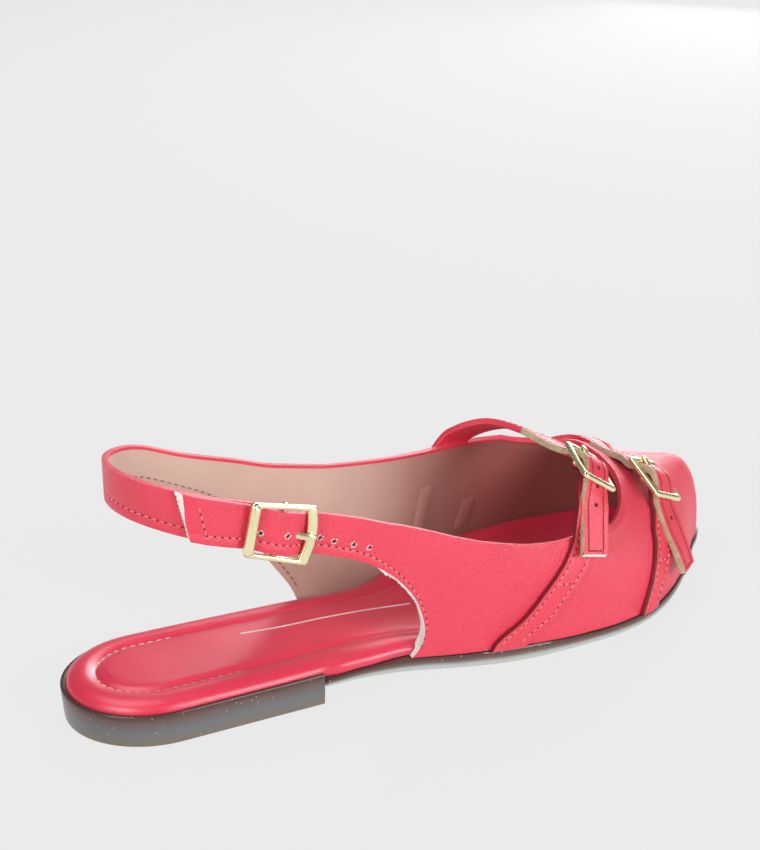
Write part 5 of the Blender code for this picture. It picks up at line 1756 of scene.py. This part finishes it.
def row_at(half, rows, inset):
    """Line at a set distance from the lower edge, over some rows of a half."""
    return np.array([read_line(half["outer"][i], half["from_low"][i], inset) for i in rows])


upper_tree = seat_tree(upper)
lateral, medial = halves[-1], halves[1]
end_row = lateral["outer"][STRAP_SEAM[0], 29:5:-1]
strap_row = np.concatenate([end_row, row_at(lateral, STRAP_SEAM, STITCH_INSET)])
sling_row = row_at(medial, SLING_SEAM, STITCH_INSET)
upper_parts, upper_holes = [], []
for line in (strap_row, sling_row):
    upper_parts.append(copies(STITCH, upper_tree, *along_line(line, PITCH), 0.03, 0.03))
    upper_holes.append(copies(HOLE, upper_tree, *along_line(line, PITCH, 0.5), 0.0))
sew("upper_thread", red_thread, upper_parts)
inner_row = sling_row - medial["normal"][SLING_SEAM, 3] * (UPPER_WALL + 0.6)
sew("lining_thread", brown_thread, [copies(STITCH, upper_tree, *along_line(inner_row, PITCH), 0.0, 0.03)])

# %% [markdown]
# The lining's pale foam frays out beyond the outer wing's cut edge. Single hairs would be lost at this
# size, so it is a narrow strip along that edge, set in the middle of the wall, with a ragged rim.

# %% Frayed lining along the outer wing's edge
FRINGE_STEPS, FRINGE_REACH, FRINGE_RAGGED, FRINGE_THICK = 150, 1.9, 0.4, 1.3
FRINGE_FROM_X = 96.0
edge_points, edge_out = (lateral[name][:LATERAL_STRAP_ROWS - 1] for name in ("outer", "normal"))
wing_rows = np.flatnonzero(edge_points[:, 0, 0] > FRINGE_FROM_X)
fringe_at = np.linspace(wing_rows[0], wing_rows[-1], FRINGE_STEPS)
whole = np.arange(len(edge_points))
fringe_base, fringe_in, fringe_up = (
    read_line(values, whole, fringe_at) for values in (edge_points[:, 0], edge_out[:, 0], edge_points[:, 2]))
fringe_way = unit(fringe_base - fringe_up)
reach = FRINGE_REACH + FRINGE_RAGGED * rng.normal(size=FRINGE_STEPS).clip(-1, 1)
reach *= ease(np.arange(FRINGE_STEPS), 0, 14) * (1 - ease(np.arange(FRINGE_STEPS), 132, 149))
fringe = np.stack([fringe_base - fringe_in * 1.5 + fringe_way * (reach * share - 0.5)[:, None]
                   for share in (0.0, 0.5, 1.0)], 1)
fringe_piece = lay_pattern("frayed_lining", fringe)
fringe_piece.data.materials.append(raw_edge)
apply_modifier(fringe_piece, "foam", "SOLIDIFY", thickness=FRINGE_THICK * MM, offset=0.0)
tidy_mesh(fringe_piece)
smooth(fringe_piece, 50)
adopt(fringe_piece, None)
print("frayed lining runs over", len(wing_rows), "rows of the wing")

# %% [markdown]
# A strap's row runs down one side, across its free end and up the other side. A tab has a row along each
# side and one across. All follow the columns where the bands already have their grooves.

# %% Rows on the straps and tabs
BAND_PITCH = 0.94 * PITCH
strap_parts, tab_parts, band_holes = [], [], []
left, right = STITCH_COLUMNS
for piece, grid, thick, first, last, across in (    # rows left bare at both ends, row of the cross seam
    (rear_strap, rear_strap_grid, STRAP_THICK, 2, 3, None),
    (front_strap, front_strap_grid, STRAP_THICK, 2, 3, None),
    (rear_tab, rear_tab_grid, TAB_THICK, 1, 26, 25),
    (front_tab, front_tab_grid, TAB_THICK, 1, 16, 16),
):
    face = (grid - grid_normals(grid) * (thick / 2 + 0.05))[first:len(grid) - last]
    if across is None:
        parts = strap_parts
        lines = [np.concatenate([face[:, left], face[-1, left + 1:right], face[::-1, right]])]
    else:
        parts = tab_parts
        lines = [face[:, left], face[:, right], face[across - first, left:right + 1]]
    tree = seat_tree(piece)
    for line in lines:
        parts.append(copies(STITCH, tree, *along_line(line, BAND_PITCH), 0.02, 0.03))
        band_holes.append(copies(HOLE, tree, *along_line(line, BAND_PITCH, 0.5), 0.0))
sew("strap_thread", deep_thread, strap_parts)
sew("tab_thread", red_thread, tab_parts)
sew("needle_holes", hole_shade, upper_holes + band_holes)

# %% [markdown]
# The insole's pale row lies in the pinched channel round the heel, so it is read from the ring of the
# pad that is the channel's floor.

# %% Row round the insole
INSOLE_STITCH, INSOLE_PITCH = bead((2.1, 0.6, 0.45)), 3.1
LATERAL_END_X, MEDIAL_END_X = 56, 44          # where the row stops on either side
channel = pad_rings[CHANNEL_RING]
lateral_line, medial_line = channel[:pad_steps], channel[pad_steps:][::-1]
heel_line = np.concatenate([lateral_line[lateral_line[:, 0] < LATERAL_END_X][::-1],
                            medial_line[medial_line[:, 0] < MEDIAL_END_X]])
insole_tree = seat_tree(insole)
sew("insole_thread", pale_thread,
    [copies(INSOLE_STITCH, insole_tree, *along_line(heel_line, INSOLE_PITCH), 0.06, 0.04)])

# %% [markdown]
# Two welts stand out in the lining of the inner side, about 16 and 11 millimetres long. The wall's own
# columns are too far apart there to be raised, so each welt is a small grid laid on the lining.

# %% Welts in the lining
WELTS = (((149.2, 34.9, 37.8), (144.2, 32.9, 22.5)), ((169.4, 40.4, 27.0), (165.0, 39.4, 16.5)))
WELT_ACROSS = np.array((0.95, 0.3, 0.0)) * 2.9      # from a welt's middle to its side
WELT_RISE, WELT_SINK = 1.0, 0.1
for number, (top, low) in enumerate(WELTS, 1):
    line = np.linspace(top, low, 26)
    side = np.linspace(-1, 1, 13)
    welt = np.zeros((len(line), len(side), 3))
    ends = np.sqrt(np.clip(1 - np.linspace(-1, 1, len(line)) ** 8, 0, 1))
    for i, spot in enumerate(line):
        for j, share in enumerate(side):
            near, normal, _, _ = upper_tree.find_nearest(Vector(place(spot + WELT_ACROSS * share)))
            rise = WELT_RISE * ends[i] * (1 - share**4) - WELT_SINK
            welt[i, j] = (np.array(near) - HEEL_BACK) / MM + np.array(normal) * rise
    piece = lay_pattern(f"lining_welt_{number}", welt)
    # The welt's lining gets the same painted shade and red bounce towards the toe.
    toe_shade = piece.data.attributes.new("toe_shade", "FLOAT", "POINT")
    toe_shade.data.foreach_set("value", toe_shade_at(welt).reshape(-1).astype(np.float32))
    piece.data.materials.append(lining_cloth)
    apply_modifier(piece, "lining", "SOLIDIFY", thickness=0.3 * MM, offset=-1.0)
    tidy_mesh(piece)
    smooth(piece, 60)
    adopt(piece, None)

# %% [markdown]
# The straps carry punched holes for the prongs. On the sling's strap they have torn the coating, so a pale
# frayed ring stands round each one. On the other straps they are plain. Cutting them with Boolean would break
# the grids' even rows for holes of a millimetre, so each is a flat bead coloured dark as painted shade for
# the hole.

# %% Punched holes
DOT, FRAY = bead((1.6, 1.6, 0.3), 10, 4), bead((0.95, 0.5, 0.5), 6, 4)
SLING_HOLES = np.array(((57.7, -28.2, 67.6), (66.2, -29.7, 65.3), (78.5, -26.4, 60.6), (83.2, -27.0, 58.5),
                        (89.9, -27.4, 55.9), (95.3, -27.7, 53.8)))
REAR_HOLES, FRONT_HOLES = np.array((17.5, 24.0, 31.0)), np.array((19.8, 27.0))     # from the free end
FRAYS = 7                 # torn bits round a hole
sling_ways = np.repeat([sling_seat.ahead], len(SLING_HOLES), 0)


def strap_spots(grid, distances):
    """Places on a strap's middle line, at distances from its free end."""
    line = (grid - grid_normals(grid) * STRAP_THICK / 2)[::-1, grid.shape[1] // 2]
    run = travel(line)
    spots = read_line(line, run, distances)
    return spots, unit(read_line(line, run, distances + 0.5) - spots)


frays, fray_ways = [], []
for spot in SLING_HOLES:
    for turn in np.linspace(0, 2 * math.pi, FRAYS, endpoint=False) + rng.normal(size=FRAYS) * 0.2:
        away = sling_seat.ahead * math.cos(turn) + sling_seat.width * math.sin(turn)
        frays.append(spot + away * rng.uniform(0.7, 1.05))
        fray_ways.append(sling_seat.width * math.cos(turn) - sling_seat.ahead * math.sin(turn))
sew("frayed_rings", pale_thread, [copies(FRAY, upper_tree, frays, fray_ways, 0.0, 0.5)])
sew("punched_holes", hole_shade, [
    copies(bead((1.3, 1.1, 0.4), 10, 4), upper_tree, SLING_HOLES, sling_ways, 0.0),
    copies(DOT, seat_tree(rear_strap), *strap_spots(rear_strap_grid, REAR_HOLES), 0.0),
    copies(DOT, seat_tree(front_strap), *strap_spots(front_strap_grid, FRONT_HOLES), 0.0)])

# %% [markdown]
# A fine pale line is printed along the insole. It could be drawn in the material, but a thin strip laid
# on the pad stays crisp from close by. A ray from above finds the pad's height under each of its points.

# %% The insole's pale line
LINE_X, LINE_Y, LINE_HALF_WIDTH = (63.4, 92.7, 124.5), (5.2, 1.6, 0.3), 0.4
PRINT_LIFT, PRINT_THICK = 0.04, 0.05
line_x = np.linspace(LINE_X[0], LINE_X[-1], 90)
line_y = curve(LINE_X, LINE_Y, line_x)[:, 0]
strip = np.zeros((len(line_x), 3, 3))
for i, (x, y) in enumerate(zip(line_x, line_y)):
    for j, aside in enumerate((-LINE_HALF_WIDTH, 0.0, LINE_HALF_WIDTH)):
        hit, _, _, _ = insole_tree.ray_cast(Vector(place((x, y + aside, 40.0))), Vector((0, 0, -1)))
        strip[i, j] = (np.array(hit) - HEEL_BACK) / MM + (0, 0, PRINT_LIFT)
pale_line = lay_pattern("insole_pale_line", strip)
pale_line.data.materials.append(pin_line)
apply_modifier(pale_line, "print", "SOLIDIFY", thickness=PRINT_THICK * MM, offset=-1.0)
tidy_mesh(pale_line)
smooth(pale_line, 60)
adopt(pale_line, None)
